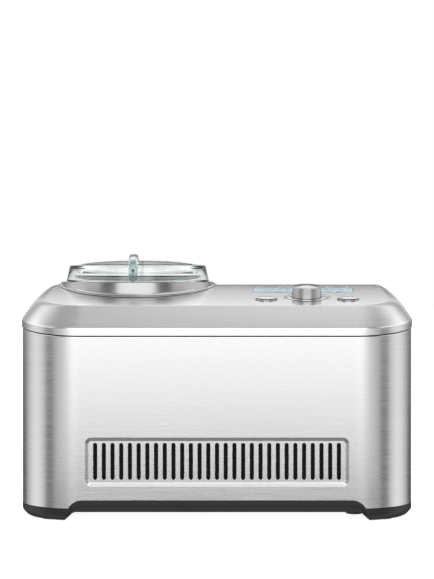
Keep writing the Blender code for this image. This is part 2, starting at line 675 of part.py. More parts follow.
# ---- Controls ---------------------------------------------------------------------------
def build_controls():
    steps = 28
    knob_place = deck_place(CONTROL_X, KNOB_Y)
    knob = [(0, KNOB_HEIGHT), (KNOB_TOP_RADIUS - 0.0012, KNOB_HEIGHT),
            (KNOB_TOP_RADIUS, KNOB_HEIGHT - 0.0012), (KNOB_RADIUS, 0.0006), (0.0033, 0.0006),
            (0.0033, 0.0090), (0, 0.0090)]
    finish(turned("knob", knob, steps, *knob_place), "control_knob", STEEL)
    ring = [(KNOB_RADIUS + 0.0006, 0.0010), (KNOB_RING_RADIUS - 0.0006, 0.0010),
            (KNOB_RING_RADIUS, GAP), (KNOB_RADIUS + 0.0006, GAP)]
    finish(turned("ring", ring, steps, *knob_place, ring=True), "knob_ring", STEEL)
    shaft = [(0, 0.0086), (0.0030, 0.0086), (0.0030, -0.0052), (0, -0.0052)]
    finish(turned("shaft", shaft, 16, *knob_place), "knob_shaft", ALUMINIUM)
    encoder = turned("encoder", [(0, -0.0055), (0.0062, -0.0055), (0.0062, -0.0117), (0, -0.0117)],
                     12, *knob_place)
    finish(encoder, "knob_encoder", ENAMEL)

    button = [(0, 0.0004), (BUTTON_RADIUS - 0.0030, 0.0008), (BUTTON_RADIUS - 0.0006, 0.0012),
              (BUTTON_RADIUS, 0.0006), (BUTTON_RADIUS, -0.0045), (0, -0.0045)]
    for label, side in (("power", -1), ("start", 1)):
        place = deck_place(CONTROL_X + side * BUTTON_X_OFFSET, BUTTON_Y)
        finish(turned(label, button, 24, *place), label + "_button", CHROME)
    small = [(0, 0.0010), (SMALL_BUTTON_RADIUS - 0.0005, 0.0010), (SMALL_BUTTON_RADIUS, 0.0005),
             (SMALL_BUTTON_RADIUS, -0.0040), (0, -0.0040)]
    for i, x in enumerate(SMALL_BUTTON_X):
        place = deck_place(x, SMALL_BUTTON_Y)
        finish(turned("small", small, 12, *place), f"setting_button_{i + 1}", CHROME)

    finish(window_block("window", 0.0, -0.0018, 0.0002), "display_window", DISPLAY)
    module = window_block("module", -0.0015, -0.0075, -0.0022)
    finish(module, "display_module", BOARD)
    board = block("board", (-0.0600, -0.0420, -0.0137), (0.0600, 0.0420, -0.0121))
    board.location, board.rotation_euler = deck_place(CONTROL_X, -0.0600, -0.0134)
    finish(board, "control_board", BOARD)


# ---- Bowl, paddle and cold well ---------------------------------------------------------
def build_bowl():
    """Lift-out bowl with a flange, and a tower in its floor for the drive shaft."""
    wall, top, low = BOWL_WALL, BOWL_TOP, BOWL_BOTTOM
    profile = [
        (BOWL_FLANGE, top), (BOWL_FLANGE, top - wall), (BOWL_RADIUS, top - wall),
        (BOWL_RADIUS, low + 0.006), (BOWL_RADIUS - 0.006, low), (TOWER_BORE, low),
        (TOWER_BORE, TOWER_TOP), (TOWER_RADIUS, TOWER_TOP), (TOWER_RADIUS, low + wall),
        (BOWL_RADIUS - 0.0065, low + wall), (BOWL_RADIUS - wall, low + 0.0065), (BOWL_RADIUS - wall, top),
    ]
    finish(turned("bowl", profile, 36, (WELL_X, 0, 0), ring=True), "removable_bowl", ALUMINIUM)
    radius, wire = 0.0672, 0.0015
    points = [(WELL_X + u, v, BOWL_TOP + GAP + wire) for u, v in arc(0, 0, radius, 180, 360, 18)]
    finish(pipe("bail", points, wire), "bowl_bail", CHROME)


def build_paddle():
    """Hub over the tower with two upright scraping frames."""
    low = BOWL_BOTTOM + BOWL_WALL + GAP
    hub_top = 0.1330
    bore = TOWER_RADIUS + 0.0004
    socket = SHAFT_RADIUS + 0.0004
    hub = [(0, hub_top), (0.0090, hub_top), (0.0125, hub_top - 0.0060), (0.0130, low),
           (bore, low), (bore, TOWER_TOP + 0.0005), (socket, TOWER_TOP + 0.0005),
           (socket, SHAFT_TOP + 0.0006), (0, SHAFT_TOP + 0.0006)]
    paddle = turned("paddle", hub, 24, (WELL_X, 0, 0))
    for side, lean in ((-1, math.radians(9)), (1, math.radians(-9))):
        near, far = WELL_X + side * 0.0110, WELL_X + side * 0.0600
        left, right = min(near, far), max(near, far)
        frame = block("frame", (left, -0.0018, 0.1060), (right, 0.0018, 0.1900), rotation=(lean, 0, 0))
        near, far = WELL_X + side * 0.0200, WELL_X + side * 0.0520
        left, right = min(near, far), max(near, far)
        window = block("frame_window", (left, -0.0100, 0.1180), (right, 0.0100, 0.1780),
                       rotation=(lean, 0, 0))
        name = "frame_left" if side < 0 else "frame_right"
        as_cutter(window, name + "_window")
        join(paddle, cut(as_cutter(frame, name), window))
    finish(paddle, "paddle", NYLON)


def build_cold_well():
    low, top, radius = CAN_BOTTOM, CAN_TOP, CAN_RADIUS
    wall = 0.0015
    profile = [
        (radius + wall, top), (radius + wall, low), (0.0087, low), (0.0087, low + wall),
        (radius, low + wall), (radius, top),
    ]
    finish(turned("can", profile, 36, (WELL_X, 0, 0), ring=True), "evaporator_can", ALUMINIUM)

    coil_radius = radius + wall + TUBE_RADIUS + 0.0013
    coil_low, coil_high, turns, per_turn = 0.1000, 0.1880, 4, 18
    points = [(WELL_X + coil_radius, 0, 0.0780), (WELL_X + coil_radius, 0, 0.0930)]
    for i in range(turns * per_turn + 1):
        angle = 2 * math.pi * i / per_turn
        height = coil_low + (coil_high - coil_low) * i / (turns * per_turn)
        points.append((WELL_X + coil_radius * math.cos(angle), coil_radius * math.sin(angle), height))
    points += [(WELL_X + coil_radius + 0.0008, 0, 0.1985), (WELL_X + coil_radius + 0.0070, 0, 0.2060),
               (WELL_X + coil_radius + 0.0220, 0, 0.2060)]
    finish(pipe("coil", points, TUBE_RADIUS), "evaporator_coil", COPPER)

    inner, outer = coil_radius + TUBE_RADIUS + 0.0016, 0.0920
    ring = [(outer, 0.1920), (outer, 0.0880), (inner, 0.0880), (inner, 0.1920)]
    finish(turned("insulation", ring, 32, (WELL_X, 0, 0), ring=True), "insulation_ring", FOAM)


# ---- Paddle drive -----------------------------------------------------------------------
def gear(name, teeth, bore, centre_x, first_angle):
    """A spur gear with slim, short teeth, for free running at any angle."""
    pitch_radius = GEAR_MODULE * teeth / 2
    tip, root = pitch_radius + 0.0008, pitch_radius - 0.0018
    step = 2 * math.pi / teeth
    outline = []
    for i in range(teeth):
        middle = first_angle + i * step
        for radius, share in ((root, -0.25), (tip, -0.11), (tip, 0.11), (root, 0.25)):
            angle = middle + share * step
            outline.append((centre_x + radius * math.cos(angle), radius * math.sin(angle)))
    wheel = extruded(name, outline, "Z", GEAR_LOW, GEAR_HIGH)
    hole = as_cutter(cylinder(name + "_bore", bore, 0.05, 0.09, (centre_x, 0), 16), name + "_bore")
    return cut(wheel, hole)


def gearbox_outline(inset=0.0):
    """Two round ends of unlike size, joined by their common tangents."""
    big, small = 0.0345 - inset, 0.0130 - inset
    distance = MOTOR_X - WELL_X
    open_angle = math.degrees(math.acos((big - small) / distance))
    points = arc(WELL_X, 0, big, open_angle, 360 - open_angle, 20)
    points += arc(MOTOR_X, 0, small, -open_angle, open_angle, 8)
    return points


def outline_at(points, height):
    return [(x, y, height) for x, y in points]


def build_drive():
    wall = 0.0025
    outer, inner = gearbox_outline(), gearbox_outline(wall)
    rings = [outline_at(outer, GEARBOX_LOW), outline_at(outer, GEARBOX_TOP),
             outline_at(inner, GEARBOX_TOP), outline_at(inner, GEARBOX_LOW + wall)]
    base = loft("gearbox_base", rings)
    hole = cylinder("motor_shaft_hole", 0.0040, 0.05, 0.0620, (MOTOR_X, 0), 16)
    finish(cut(base, as_cutter(hole, "motor_shaft_hole")), "gearbox_base", BLACK)
    cover_low, cover_high = GEARBOX_TOP + GAP, GEARBOX_TOP + 0.0033
    cover = loft("gearbox_cover", [outline_at(outer, cover_low), outline_at(outer, cover_high)])
    hole = cylinder("bush_hole", 0.0084, 0.07, 0.09, (WELL_X, 0), 20)
    finish(cut(cover, as_cutter(hole, "bush_hole")), "gearbox_cover", BLACK)

    finish(gear("drive_gear", GEAR_TEETH, SHAFT_RADIUS + GAP, WELL_X, 0.0), "drive_gear", NYLON)
    phase = math.pi / PINION_TEETH
    finish(gear("motor_pinion", PINION_TEETH, 0.0025 + GAP, MOTOR_X, phase), "motor_pinion", NYLON)

    shaft = [(0, SHAFT_TOP), (SHAFT_RADIUS - 0.0010, SHAFT_TOP), (SHAFT_RADIUS, SHAFT_TOP - 0.0010),
             (SHAFT_RADIUS, SHAFT_LOW), (0, SHAFT_LOW)]
    finish(turned("drive_shaft", shaft, 16, (WELL_X, 0, 0)), "drive_shaft", STEEL)
    bush = [(0.0080, 0.0880), (0.0080, 0.0780), (SHAFT_RADIUS + GAP, 0.0780), (SHAFT_RADIUS + GAP, 0.0880)]
    finish(turned("bush", bush, 20, (WELL_X, 0, 0), ring=True), "shaft_bush", NYLON)
    seal = [(0.0084, 0.0955), (0.0084, 0.0900), (SHAFT_RADIUS + GAP, 0.0900), (SHAFT_RADIUS + GAP, 0.0955)]
    finish(turned("seal", seal, 20, (WELL_X, 0, 0), ring=True), "shaft_seal", RUBBER)
    pin = [(0, 0.0750), (0.0025, 0.0750), (0.0025, MOTOR_TOP + GAP), (0, MOTOR_TOP + GAP)]
    finish(turned("pin", pin, 12, (MOTOR_X, 0, 0)), "motor_shaft", STEEL)
    motor = [(0, MOTOR_TOP), (MOTOR_RADIUS - 0.0020, MOTOR_TOP), (MOTOR_RADIUS, MOTOR_TOP - 0.0020),
             (MOTOR_RADIUS, MOTOR_LOW), (0, MOTOR_LOW)]
    finish(turned("motor", motor, 24, (MOTOR_X, 0, 0)), "paddle_motor", ALUMINIUM)


# ---- Refrigeration ----------------------------------------------------------------------
def build_compressor():
    radius = COMPRESSOR_RADIUS
    flat, rise = 0.0220, COMPRESSOR_TOP - COMPRESSOR_SHOULDER
    dome = []
    for i in range(5):
        angle = math.radians(90 - 90 * i / 4)
        dome.append((flat + (radius - flat) * math.cos(angle), COMPRESSOR_SHOULDER + rise * math.sin(angle)))
    profile = [(0, COMPRESSOR_TOP), *dome, (radius, 0.0360), (0.0400, 0.0280), (0, 0.0280)]
    can = turned("compressor", profile, 28, (COMPRESSOR_X, COMPRESSOR_Y, 0))
    half_x, half_y = 0.0480, 0.0420
    plate = block("compressor_plate", (COMPRESSOR_X - half_x, COMPRESSOR_Y - half_y, COMPRESSOR_LOW),
                  (COMPRESSOR_X + half_x, COMPRESSOR_Y + half_y, COMPRESSOR_LOW + 0.0030))
    finish(join(can, as_cutter(plate, "compressor_plate")), "compressor", ENAMEL)
    number = 0
    for sign_x in (-1, 1):
        for sign_y in (-1, 1):
            number += 1
            place = (COMPRESSOR_X + sign_x * 0.0400, COMPRESSOR_Y + sign_y * 0.0340)
            grommet = cylinder("grommet", 0.0065, FLOOR_TOP + GAP, COMPRESSOR_LOW - GAP, place, 12)
            finish(grommet, f"compressor_grommet_{number}", RUBBER)


def build_condenser():
    """Finned block: a spine with fins on the side that faces the fan."""
    pitch = 2 * CONDENSER_HALF_Y / (FIN_COUNT - 0.5)
    back = CONDENSER_X + CONDENSER_THICKNESS
    root = back - 0.0060
    outline = []
    for i in range(FIN_COUNT):
        start = -CONDENSER_HALF_Y + i * pitch
        end = start + pitch / 2
        outline += [(root, start), (CONDENSER_X, start), (CONDENSER_X, end), (root, end)]
    outline = outline[1:-1]
    outline += [(back, CONDENSER_HALF_Y), (back, -CONDENSER_HALF_Y)]
    finish(extruded("condenser", outline, "Z", CONDENSER_LOW, CONDENSER_HIGH), "condenser", ALUMINIUM)


def build_fan():
    """Axial fan on the X axis: a square frame with struts to the motor, and a bladed rotor."""
    half, near, far = 0.0480, FAN_X - 0.0120, FAN_X + 0.0120
    frame = block("fan_frame", (near, -half, FAN_Z - half), (far, half, FAN_Z + half))
    duct = cylinder("fan_duct", FAN_RADIUS + 0.0020, -0.05, 0.05, steps=32)
    duct.location = (FAN_X, 0, FAN_Z)
    duct.rotation_euler = (0, math.radians(90), 0)
    motor = turned("fan_motor", [(0, 0.0110), (0.0130, 0.0110), (0.0130, 0.0), (0, 0.0)], 16,
                   (far - 0.0110, 0, FAN_Z), (0, math.radians(90), 0))
    as_cutter(motor, "fan_motor")
    for i in range(2):
        strut = block("strut", (far - 0.0030, -0.0470, FAN_Z - 0.0020),
                      (far - 0.0005, 0.0470, FAN_Z + 0.0020), rotation=(math.radians(45 + 90 * i), 0, 0))
        join(motor, as_cutter(strut, f"fan_strut_{i + 1}"))
    finish(join(cut(frame, as_cutter(duct, "fan_duct")), motor), "fan_frame", BLACK)

    rotor_x = FAN_X - 0.0050
    rotor = turned("fan_rotor", [(0, 0.0050), (0.0130, 0.0050), (0.0130, -0.0050), (0, -0.0050)], 16,
                   (rotor_x, 0, FAN_Z), (0, math.radians(90), 0))
    blades = 5
    for i in range(blades):
        angle = 2 * math.pi * i / blades
        blade = block("blade", (-0.0008, -0.0090, 0.0110), (0.0008, 0.0090, FAN_RADIUS - 0.0010))
        twist = Matrix.Rotation(math.radians(24), 4, "Z")
        blade.data.transform(twist @ Matrix.Translation(blade.location))
        blade.location = (rotor_x, 0, FAN_Z)
        blade.rotation_euler = (angle, 0, 0)
        join(rotor, as_cutter(blade, f"fan_blade_{i + 1}"))
    finish(rotor, "fan_rotor", BLACK)


def build_tubes():
    """Refrigerant circuit: well coil, compressor, condenser, drier and back to the coil."""
    coil_x = WELL_X + CAN_RADIUS + 0.0058
    suction = [(coil_x + 0.0224, 0, 0.2060), (0.0240, 0, 0.2060), (0.0480, 0.0100, 0.2010),
               (0.0600, 0.0170, 0.1880), (0.0640, 0.0200, 0.1700),
               (0.0640, 0.0200, COMPRESSOR_TOP + 0.0004)]
    finish(pipe("suction", suction, TUBE_RADIUS), "suction_tube", COPPER)
    start_x, over = COMPRESSOR_X + 0.0120, 0.1620
    middle_x = CONDENSER_X + CONDENSER_THICKNESS / 2 + 0.0090
    discharge = [(start_x, 0.0200, COMPRESSOR_TOP + 0.0004), (start_x, 0.0200, 0.1540),
                 (start_x + 0.0080, 0.0200, over), (middle_x - 0.0120, 0.0200, over),
                 (middle_x, 0.0200, 0.1520), (middle_x, 0.0200, CONDENSER_HIGH + 0.0004)]
    finish(pipe("discharge", discharge, TUBE_RADIUS), "discharge_tube", COPPER)
    drier_y, drier_z, drier_low, drier_high = -0.0680, 0.0600, 0.0200, 0.0800
    side_y = -CONDENSER_HALF_Y - 0.0034
    return_line = [(CONDENSER_X + 0.0220, side_y, 0.0450), (0.1560, side_y - 0.0004, 0.0450),
                   (0.1300, side_y - 0.0006, 0.0460), (0.1050, drier_y, 0.0560),
                   (0.0950, drier_y, drier_z), (drier_high + 0.0004, drier_y, drier_z)]
    finish(pipe("liquid_in", return_line, 0.0020), "liquid_tube_warm", COPPER)
    feed = [(drier_low - 0.0004, drier_y, drier_z), (0.0060, drier_y, drier_z), (-0.0040, -0.0580, 0.0610),
            (-0.0080, -0.0300, 0.0630), (-0.0100, -0.0080, 0.0650), (coil_x, 0, 0.0690),
            (coil_x, 0, 0.0776)]
    finish(pipe("liquid_out", feed, 0.0020), "liquid_tube_cold", COPPER)
    neck, radius = 0.0040, 0.0080
    profile = [(0, drier_high), (neck, drier_high), (radius, drier_high - radius),
               (radius, drier_low + radius), (neck, drier_low), (0, drier_low)]
    drier = turned("drier", profile, 16, (0, drier_y, drier_z), (0, math.radians(90), 0))
    finish(drier, "filter_drier", COPPER)


def build_inlet():
    """Appliance inlet at the back: a block with a socket open to the rear."""
    face = HALF_DEPTH - 0.0010
    body = block("inlet", (INLET_X - 0.0150, face - 0.0240, INLET_Z - 0.0120),
                 (INLET_X + 0.0150, face, INLET_Z + 0.0120))
    socket = block("inlet_socket", (INLET_X - 0.0120, face - 0.0180, INLET_Z - 0.0090),
                   (INLET_X + 0.0120, face + 0.0100, INLET_Z + 0.0090))
    finish(cut(body, as_cutter(socket, "inlet_socket")), "power_inlet", BLACK)
    outside = HALF_DEPTH - SLEEVE_INSET
    plate = inlet_slab("plate", INLET_PLATE_X, INLET_PLATE_Z, INLET_PLATE_CORNER, outside - 0.0030, outside)
    hole = block("inlet_plate_hole", (INLET_X - 0.0153, 0.12, INLET_Z - 0.0123),
                 (INLET_X + 0.0153, 0.16, INLET_Z + 0.0123))
    finish(cut(plate, as_cutter(hole, "inlet_plate_hole")), "inlet_surround", BLACK)


build_top_cover()
build_body_sleeve()
build_base_tray()
build_feet_and_screws()
build_bowl_collar()
build_lid()
build_lid_liner()
build_lid_handle()
build_controls()
build_bowl()
build_paddle()
build_cold_well()
build_drive()
build_compressor()
build_condenser()
build_fan()
build_tubes()
build_inlet()
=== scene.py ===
"""Looks for the countertop ice cream maker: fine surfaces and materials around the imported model."""

import json
import math

import bmesh
import bpy
from mathutils import Matrix, Vector


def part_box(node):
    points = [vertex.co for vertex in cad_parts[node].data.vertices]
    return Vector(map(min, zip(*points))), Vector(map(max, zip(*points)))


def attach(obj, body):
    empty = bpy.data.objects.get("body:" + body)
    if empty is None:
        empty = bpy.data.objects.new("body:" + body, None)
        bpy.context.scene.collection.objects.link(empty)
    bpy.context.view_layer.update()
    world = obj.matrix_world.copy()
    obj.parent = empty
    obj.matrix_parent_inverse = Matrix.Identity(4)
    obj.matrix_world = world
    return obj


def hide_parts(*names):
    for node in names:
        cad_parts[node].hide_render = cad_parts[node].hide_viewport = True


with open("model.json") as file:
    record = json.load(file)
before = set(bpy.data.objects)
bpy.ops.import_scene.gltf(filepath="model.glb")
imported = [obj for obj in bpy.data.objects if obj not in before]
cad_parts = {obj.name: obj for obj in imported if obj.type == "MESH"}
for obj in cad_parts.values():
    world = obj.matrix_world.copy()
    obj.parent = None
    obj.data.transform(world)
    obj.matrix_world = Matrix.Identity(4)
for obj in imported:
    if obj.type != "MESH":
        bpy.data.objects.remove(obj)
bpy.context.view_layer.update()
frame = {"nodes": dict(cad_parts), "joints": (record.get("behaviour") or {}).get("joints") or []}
NODES = frame["nodes"]
JOINTS = {joint["name"]: joint for joint in frame["joints"]}

# ---- Sizes read from the frame ----
COVER_LOW, COVER_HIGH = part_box("top_cover")
SLEEVE_LOW, SLEEVE_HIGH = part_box("body_sleeve")
COLLAR_LOW, COLLAR_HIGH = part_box("bowl_collar")
LID_LOW, LID_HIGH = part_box("lid")
HALF_WIDTH = COVER_HIGH.x
HALF_DEPTH = COVER_HIGH.y
SEAM_FRONT = COVER_LOW.z
SEAM_GAP = 0.0012
SEAM_RISE = SLEEVE_HIGH.z + SEAM_GAP - SEAM_FRONT
RIDGE_HEIGHT = COVER_HIGH.z
SLEEVE_INSET = HALF_WIDTH - SLEEVE_HIGH.x
STEEL_LOW = SLEEVE_LOW.z
WELL_X = (COLLAR_LOW.x + COLLAR_HIGH.x) / 2
COLLAR_TOP = COLLAR_HIGH.z
FLARE_SIDE, COLLAR_FLARE = (COLLAR_HIGH.x - COLLAR_LOW.x) / 2, COLLAR_HIGH.y
COLLAR_BASE = COLLAR_LOW.z
LID_RADIUS = (LID_HIGH.x - LID_LOW.x) / 2

# ---- Sizes that the frame's boxes don't give, as in the part's own source ----
CORNER_RADIUS = 0.064
SHEET = 0.0015
RIM_HEIGHT = 0.0071
BEVEL_RUN = 0.73  # how far in the bevel goes for each metre up
DECK_SLOPE, DECK_CROWN = 0.145, 0.231
RIDGE_SOFT = 0.0024
ARCH_TOP, ARCH_RADIUS = 0.0221, 0.0164
ARCH_HALF_X, ARCH_HALF_Y = 0.1321, 0.0645
UNDERSIDE, LIP_HEIGHT = 0.0101, 0.0047
COLLAR_RADIUS, COLLAR_LIP, COLLAR_INNER = 0.0809, 0.0718, 0.0785
GAP = 0.0003  # clearance between touching pieces
KEY_CLEARANCE = 0.0004  # clearance round a key

# ---- Sizes that only the looks have ----
FLUSH = 0.00005  # a skin stays this far inside the solid it stands for
CORNER_STEPS = 24  # facets in each rounded corner
EDGE_ROUND = 0.0009  # how round the rim's edge is
SIDE_ROUND = 0.01  # how round the deck's edge is at the sides,
FRONT_ROUND = 0.0014  # and at the front and back
ROUND_STEPS = 12  # rings in that rounding
BEVEL_ROUND = 1.2  # how much further it reaches down the bevel than onto the deck
BEVEL_BULGE = 0.0003  # how far the bevel swells between its edges
BEVEL_TILT = 0.7  # how far up it swells, against outwards
SLEEVE_ROUND = 0.0005  # how round the sleeve's edges are
CREASE_PASSES = 12  # rounds of the search for the edge of the deck
ARCH_STEPS = 12
QUARTERS = (0.25, 0.5, 0.75, 1.0)
ON_AXIS = 1e-7  # a turned point nearer to the axis than this is a pole
# How far tools reach: through the cabinet, below the table, round the cabinet, through a wall
THROUGH, BELOW, OUTSIDE, WALL_REACH, HOLE_REACH = 0.25, -0.01, -0.002, 0.01, 0.02


# ---- Mesh helpers ----
def link(obj):
    bpy.context.scene.collection.objects.link(obj)
    return obj


def modify(obj, kind, name, **settings):
    modifier = obj.modifiers.new(name, kind)
    for key, value in settings.items():
        setattr(modifier, key, value)


def as_object(bm, name, normals=True):
    if normals:
        bmesh.ops.recalc_face_normals(bm, faces=bm.faces)
    mesh = bpy.data.meshes.new(name)
    bm.to_mesh(mesh)
    bm.free()
    return link(bpy.data.objects.new(name, mesh))


def wrap(bm, lower, upper):
    """Quads between two rings of equal length."""
    for i in range(len(lower)):
        j = (i + 1) % len(lower)
        bm.faces.new((lower[i], lower[j], upper[j], upper[i]))


def loft(name, rings, closed=False):
    """A skin over rings of equal length, capped at both ends or closed on itself."""
    bm = bmesh.new()
    layers = [[bm.verts.new(point) for point in ring] for ring in rings]
    pairs = list(zip(layers, layers[1:]))
    if closed:
        pairs.append((layers[-1], layers[0]))
    else:
        bm.faces.new(layers[0])
        bm.faces.new(layers[-1])
    for lower, upper in pairs:
        wrap(bm, lower, upper)
    return as_object(bm, name)


def circle(steps):
    """Cosine and sine of evenly spread angles."""
    angles = [2 * math.pi * i / steps for i in range(steps)]
    return [(math.cos(angle), math.sin(angle)) for angle in angles]


def turned(name, profile, centre=(0, 0), steps=96, ring=False):
    """A turned mesh. profile is (radius, height); a ring's profile closes on itself."""
    bm = bmesh.new()
    columns = []
    for cos, sin in circle(steps):
        columns.append([
            bm.verts.new((centre[0] + r * cos, centre[1] + r * sin, z)) if r >= ON_AXIS else None
            for r, z in profile
        ])
    poles = {k: bm.verts.new((*centre, z)) for k, (r, z) in enumerate(profile) if r < ON_AXIS}
    pairs = [(k, k + 1) for k in range(len(profile) - 1)]
    if ring:
        pairs.append((len(profile) - 1, 0))
    for i in range(steps):
        here, there = columns[i], columns[(i + 1) % steps]
        for a, b in pairs:
            if a in poles and b in poles:
                continue
            if a in poles:
                bm.faces.new((poles[a], here[b], there[b]))
            elif b in poles:
                bm.faces.new((here[a], poles[b], there[a]))
            else:
                bm.faces.new((here[a], here[b], there[b], there[a]))
    return as_object(bm, name)


def disc(radius, low, high):
    """The profile of a plain turned plug."""
    return [(0, high), (radius, high), (radius, low), (0, low)]


def near(u, v, *shifts):
    """Points given by their shifts from one place."""
    return [(u + du, v + dv) for du, dv in shifts]


def arc(centre_u, centre_v, radius, start, end, steps):
    """Points on an arc, with angles in degrees."""
    points = []
    for i in range(steps + 1):
        angle = math.radians(start + (end - start) * i / steps)
        points.append((centre_u + radius * math.cos(angle), centre_v + radius * math.sin(angle)))
    return points


def rounded(half_u, half_v, radius, steps=8, middle_v=0.0):
    points = []
    for sign_u, sign_v, start in ((1, 1, 0), (-1, 1, 90), (-1, -1, 180), (1, -1, 270)):
        points += arc(sign_u * (half_u - radius), sign_v * (half_v - radius) + middle_v, radius,
                      start, start + 90, steps)
    return points


def extruded(name, outline, along, low, high):
    place = {
        "X": lambda u, v, w: (w, u, v),
        "Y": lambda u, v, w: (u, w, v),
        "Z": lambda u, v, w: (u, v, w),
    }[along]
    return loft(name, [[place(u, v, w) for u, v in outline] for w in (low, high)])


def hide_tool(obj):
    obj.hide_render = True
    obj.hide_viewport = True
    return obj


def combine(target, tool, operation="DIFFERENCE"):
    modify(target, "BOOLEAN", f"{operation.lower()}_{tool.name}", operation=operation,
           solver="EXACT", object=hide_tool(tool))


def bake(obj):
    """Apply every modifier, so that the piece is one plain mesh, and remove the tools."""
    graph = bpy.context.evaluated_depsgraph_get()
    mesh = bpy.data.meshes.new_from_object(obj.evaluated_get(graph), depsgraph=graph)
    tools = [m.object for m in obj.modifiers if m.type == "BOOLEAN"]
    obj.modifiers.clear()
    obj.data = mesh
    for tool in tools:
        bpy.data.objects.remove(tool, do_unlink=True)


def round_edges(obj, width, segments=2):
    modify(obj, "BEVEL", "edge_round", width=width, segments=segments,
           limit_method="ANGLE", angle_limit=math.radians(30.0), harden_normals=False)
    return obj


def smooth(obj, angle=35.0, weight=100):
    """Smooth shading with crisp edges; with a high weight, large flat faces keep true normals."""
    obj.data.shade_smooth()
    obj.data.set_sharp_from_angle(angle=math.radians(angle))
    modify(obj, "WEIGHTED_NORMAL", "flat_faces_first", keep_sharp=True, weight=weight)


def dress(obj, body, slot, *materials, nodes=()):
    """Materials, the body it moves with and the CAD nodes it stands for; the record's slot argument
    is not used.
    """
    obj.data.materials.clear()
    for material in materials:
        obj.data.materials.append(material)
    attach(obj, body)
    if nodes:
        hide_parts(*nodes)


# ---- Materials ----
NOISE_RANGE = (0.25, 0.75)  # where nearly all of a noise texture's values lie
TINT_STOPS = (0.3, 0.7)
FINE_STREAKS, COARSE_STREAKS = (9.0, 2600.0), (14.0, 420.0)  # cycles per metre along, across
COARSE_SHARE = 0.45
GLOSS_SPREAD = (-0.05, 0.06)  # how far roughness strays over a surface
CLEAR_GLOSS = (0.015, 0.045)


def scaled(colour, factor):
    return tuple(min(1.0, c * factor) for c in colour)


class Shader:
    """A Principled material with short calls for the nodes that give it its surface."""

    def __init__(self, name, colour, roughness, metallic=0.0, **sockets):
        self.material = bpy.data.materials.new(name)
        self.material.use_nodes = True
        self.tree = self.material.node_tree
        self.principled = self.tree.nodes["Principled BSDF"]
        self.set("Base Color", (*colour, 1.0))
        self.set("Roughness", roughness)
        self.set("Metallic", metallic)
        for socket, value in sockets.items():
            self.set(socket.replace("_", " "), value)

    def set(self, socket, value):
        self.principled.inputs[socket].default_value = value

    def add(self, kind, **values):
        node = self.tree.nodes.new(kind)
        for key, value in values.items():
            if hasattr(node, key):
                setattr(node, key, value)
            else:
                node.inputs[key.replace("_", " ")].default_value = value
        return node

    def wire(self, source, target):
        self.tree.links.new(source, target)

    def noise(self, scale, detail=3.0):
        """Noise in object space; scale is one number or three, in cycles for each metre."""
        stretch = scale if isinstance(scale, tuple) else (scale, scale, scale)
        place = self.add("ShaderNodeTexCoord")
        mapping = self.add("ShaderNodeMapping")
        mapping.inputs["Scale"].default_value = stretch
        texture = self.add("ShaderNodeTexNoise", Scale=1.0, Detail=detail, Roughness=0.55)
        self.wire(place.outputs["Object"], mapping.inputs["Vector"])
        self.wire(mapping.outputs["Vector"], texture.inputs["Vector"])
        return texture.outputs["Fac"]

    def mix(self, a, b, share):
        node = self.add("ShaderNodeMath", operation="MULTIPLY_ADD")
        self.wire(a, node.inputs[0])
        node.inputs[1].default_value = 1.0 - share
        other = self.add("ShaderNodeMath", operation="MULTIPLY")
        self.wire(b, other.inputs[0])
        other.inputs[1].default_value = share
        self.wire(other.outputs[0], node.inputs[2])
        return node.outputs[0]

    def gloss(self, source, low, high):
        """Roughness that follows a texture between two values."""
        node = self.add("ShaderNodeMapRange")
        node.inputs["From Min"].default_value, node.inputs["From Max"].default_value = NOISE_RANGE
        node.inputs["To Min"].default_value, node.inputs["To Max"].default_value = low, high
        self.wire(source, node.inputs["Value"])
        self.wire(node.outputs["Result"], self.principled.inputs["Roughness"])

    def tint(self, source, dark, light):
        ramp = self.add("ShaderNodeValToRGB")
        for stop, position, colour in zip(ramp.color_ramp.elements, TINT_STOPS, (dark, light)):
            stop.position = position
            stop.color = (*colour, 1.0)
        self.wire(source, ramp.inputs["Fac"])
        self.wire(ramp.outputs["Color"], self.principled.inputs["Base Color"])

    def bump(self, source, strength, distance):
        node = self.add("ShaderNodeBump", Strength=strength, Distance=distance)
        self.wire(source, node.inputs["Height"])
        self.wire(node.outputs["Normal"], self.principled.inputs["Normal"])


def brushed(name, grain, colour, roughness, anisotropy, tangent="Z", contrast=0.03, bump=0.06):
    """Brushed metal: fine and coarse streaks, and highlights drawn out across them.

    grain says for X, Y and Z whether the streaks follow fast there."""
    shader = Shader(name, colour, roughness, 1.0, Anisotropic=anisotropy, Anisotropic_Rotation=0.25)
    fine = shader.noise(tuple(FINE_STREAKS[fast] for fast in grain), 4.0)
    coarse = shader.noise(tuple(COARSE_STREAKS[fast] for fast in grain))
    streaks = shader.mix(fine, coarse, COARSE_SHARE)
    shader.tint(streaks, scaled(colour, 1.0 - contrast), scaled(colour, 1.0 + contrast))
    shader.gloss(streaks, *(roughness + stray for stray in GLOSS_SPREAD))
    shader.bump(streaks, bump, 0.0001)
    if tangent == "level":
        surface = shader.add("ShaderNodeNewGeometry")
        node = shader.add("ShaderNodeVectorMath", operation="CROSS_PRODUCT")
        node.inputs[0].default_value = (0.0, 0.0, 1.0)
        shader.wire(surface.outputs["True Normal"], node.inputs[1])
        shader.wire(node.outputs["Vector"], shader.principled.inputs["Tangent"])
    elif tangent:
        node = shader.add("ShaderNodeTangent", direction_type="RADIAL", axis=tangent)
        shader.wire(node.outputs["Tangent"], shader.principled.inputs["Tangent"])
    return shader.material


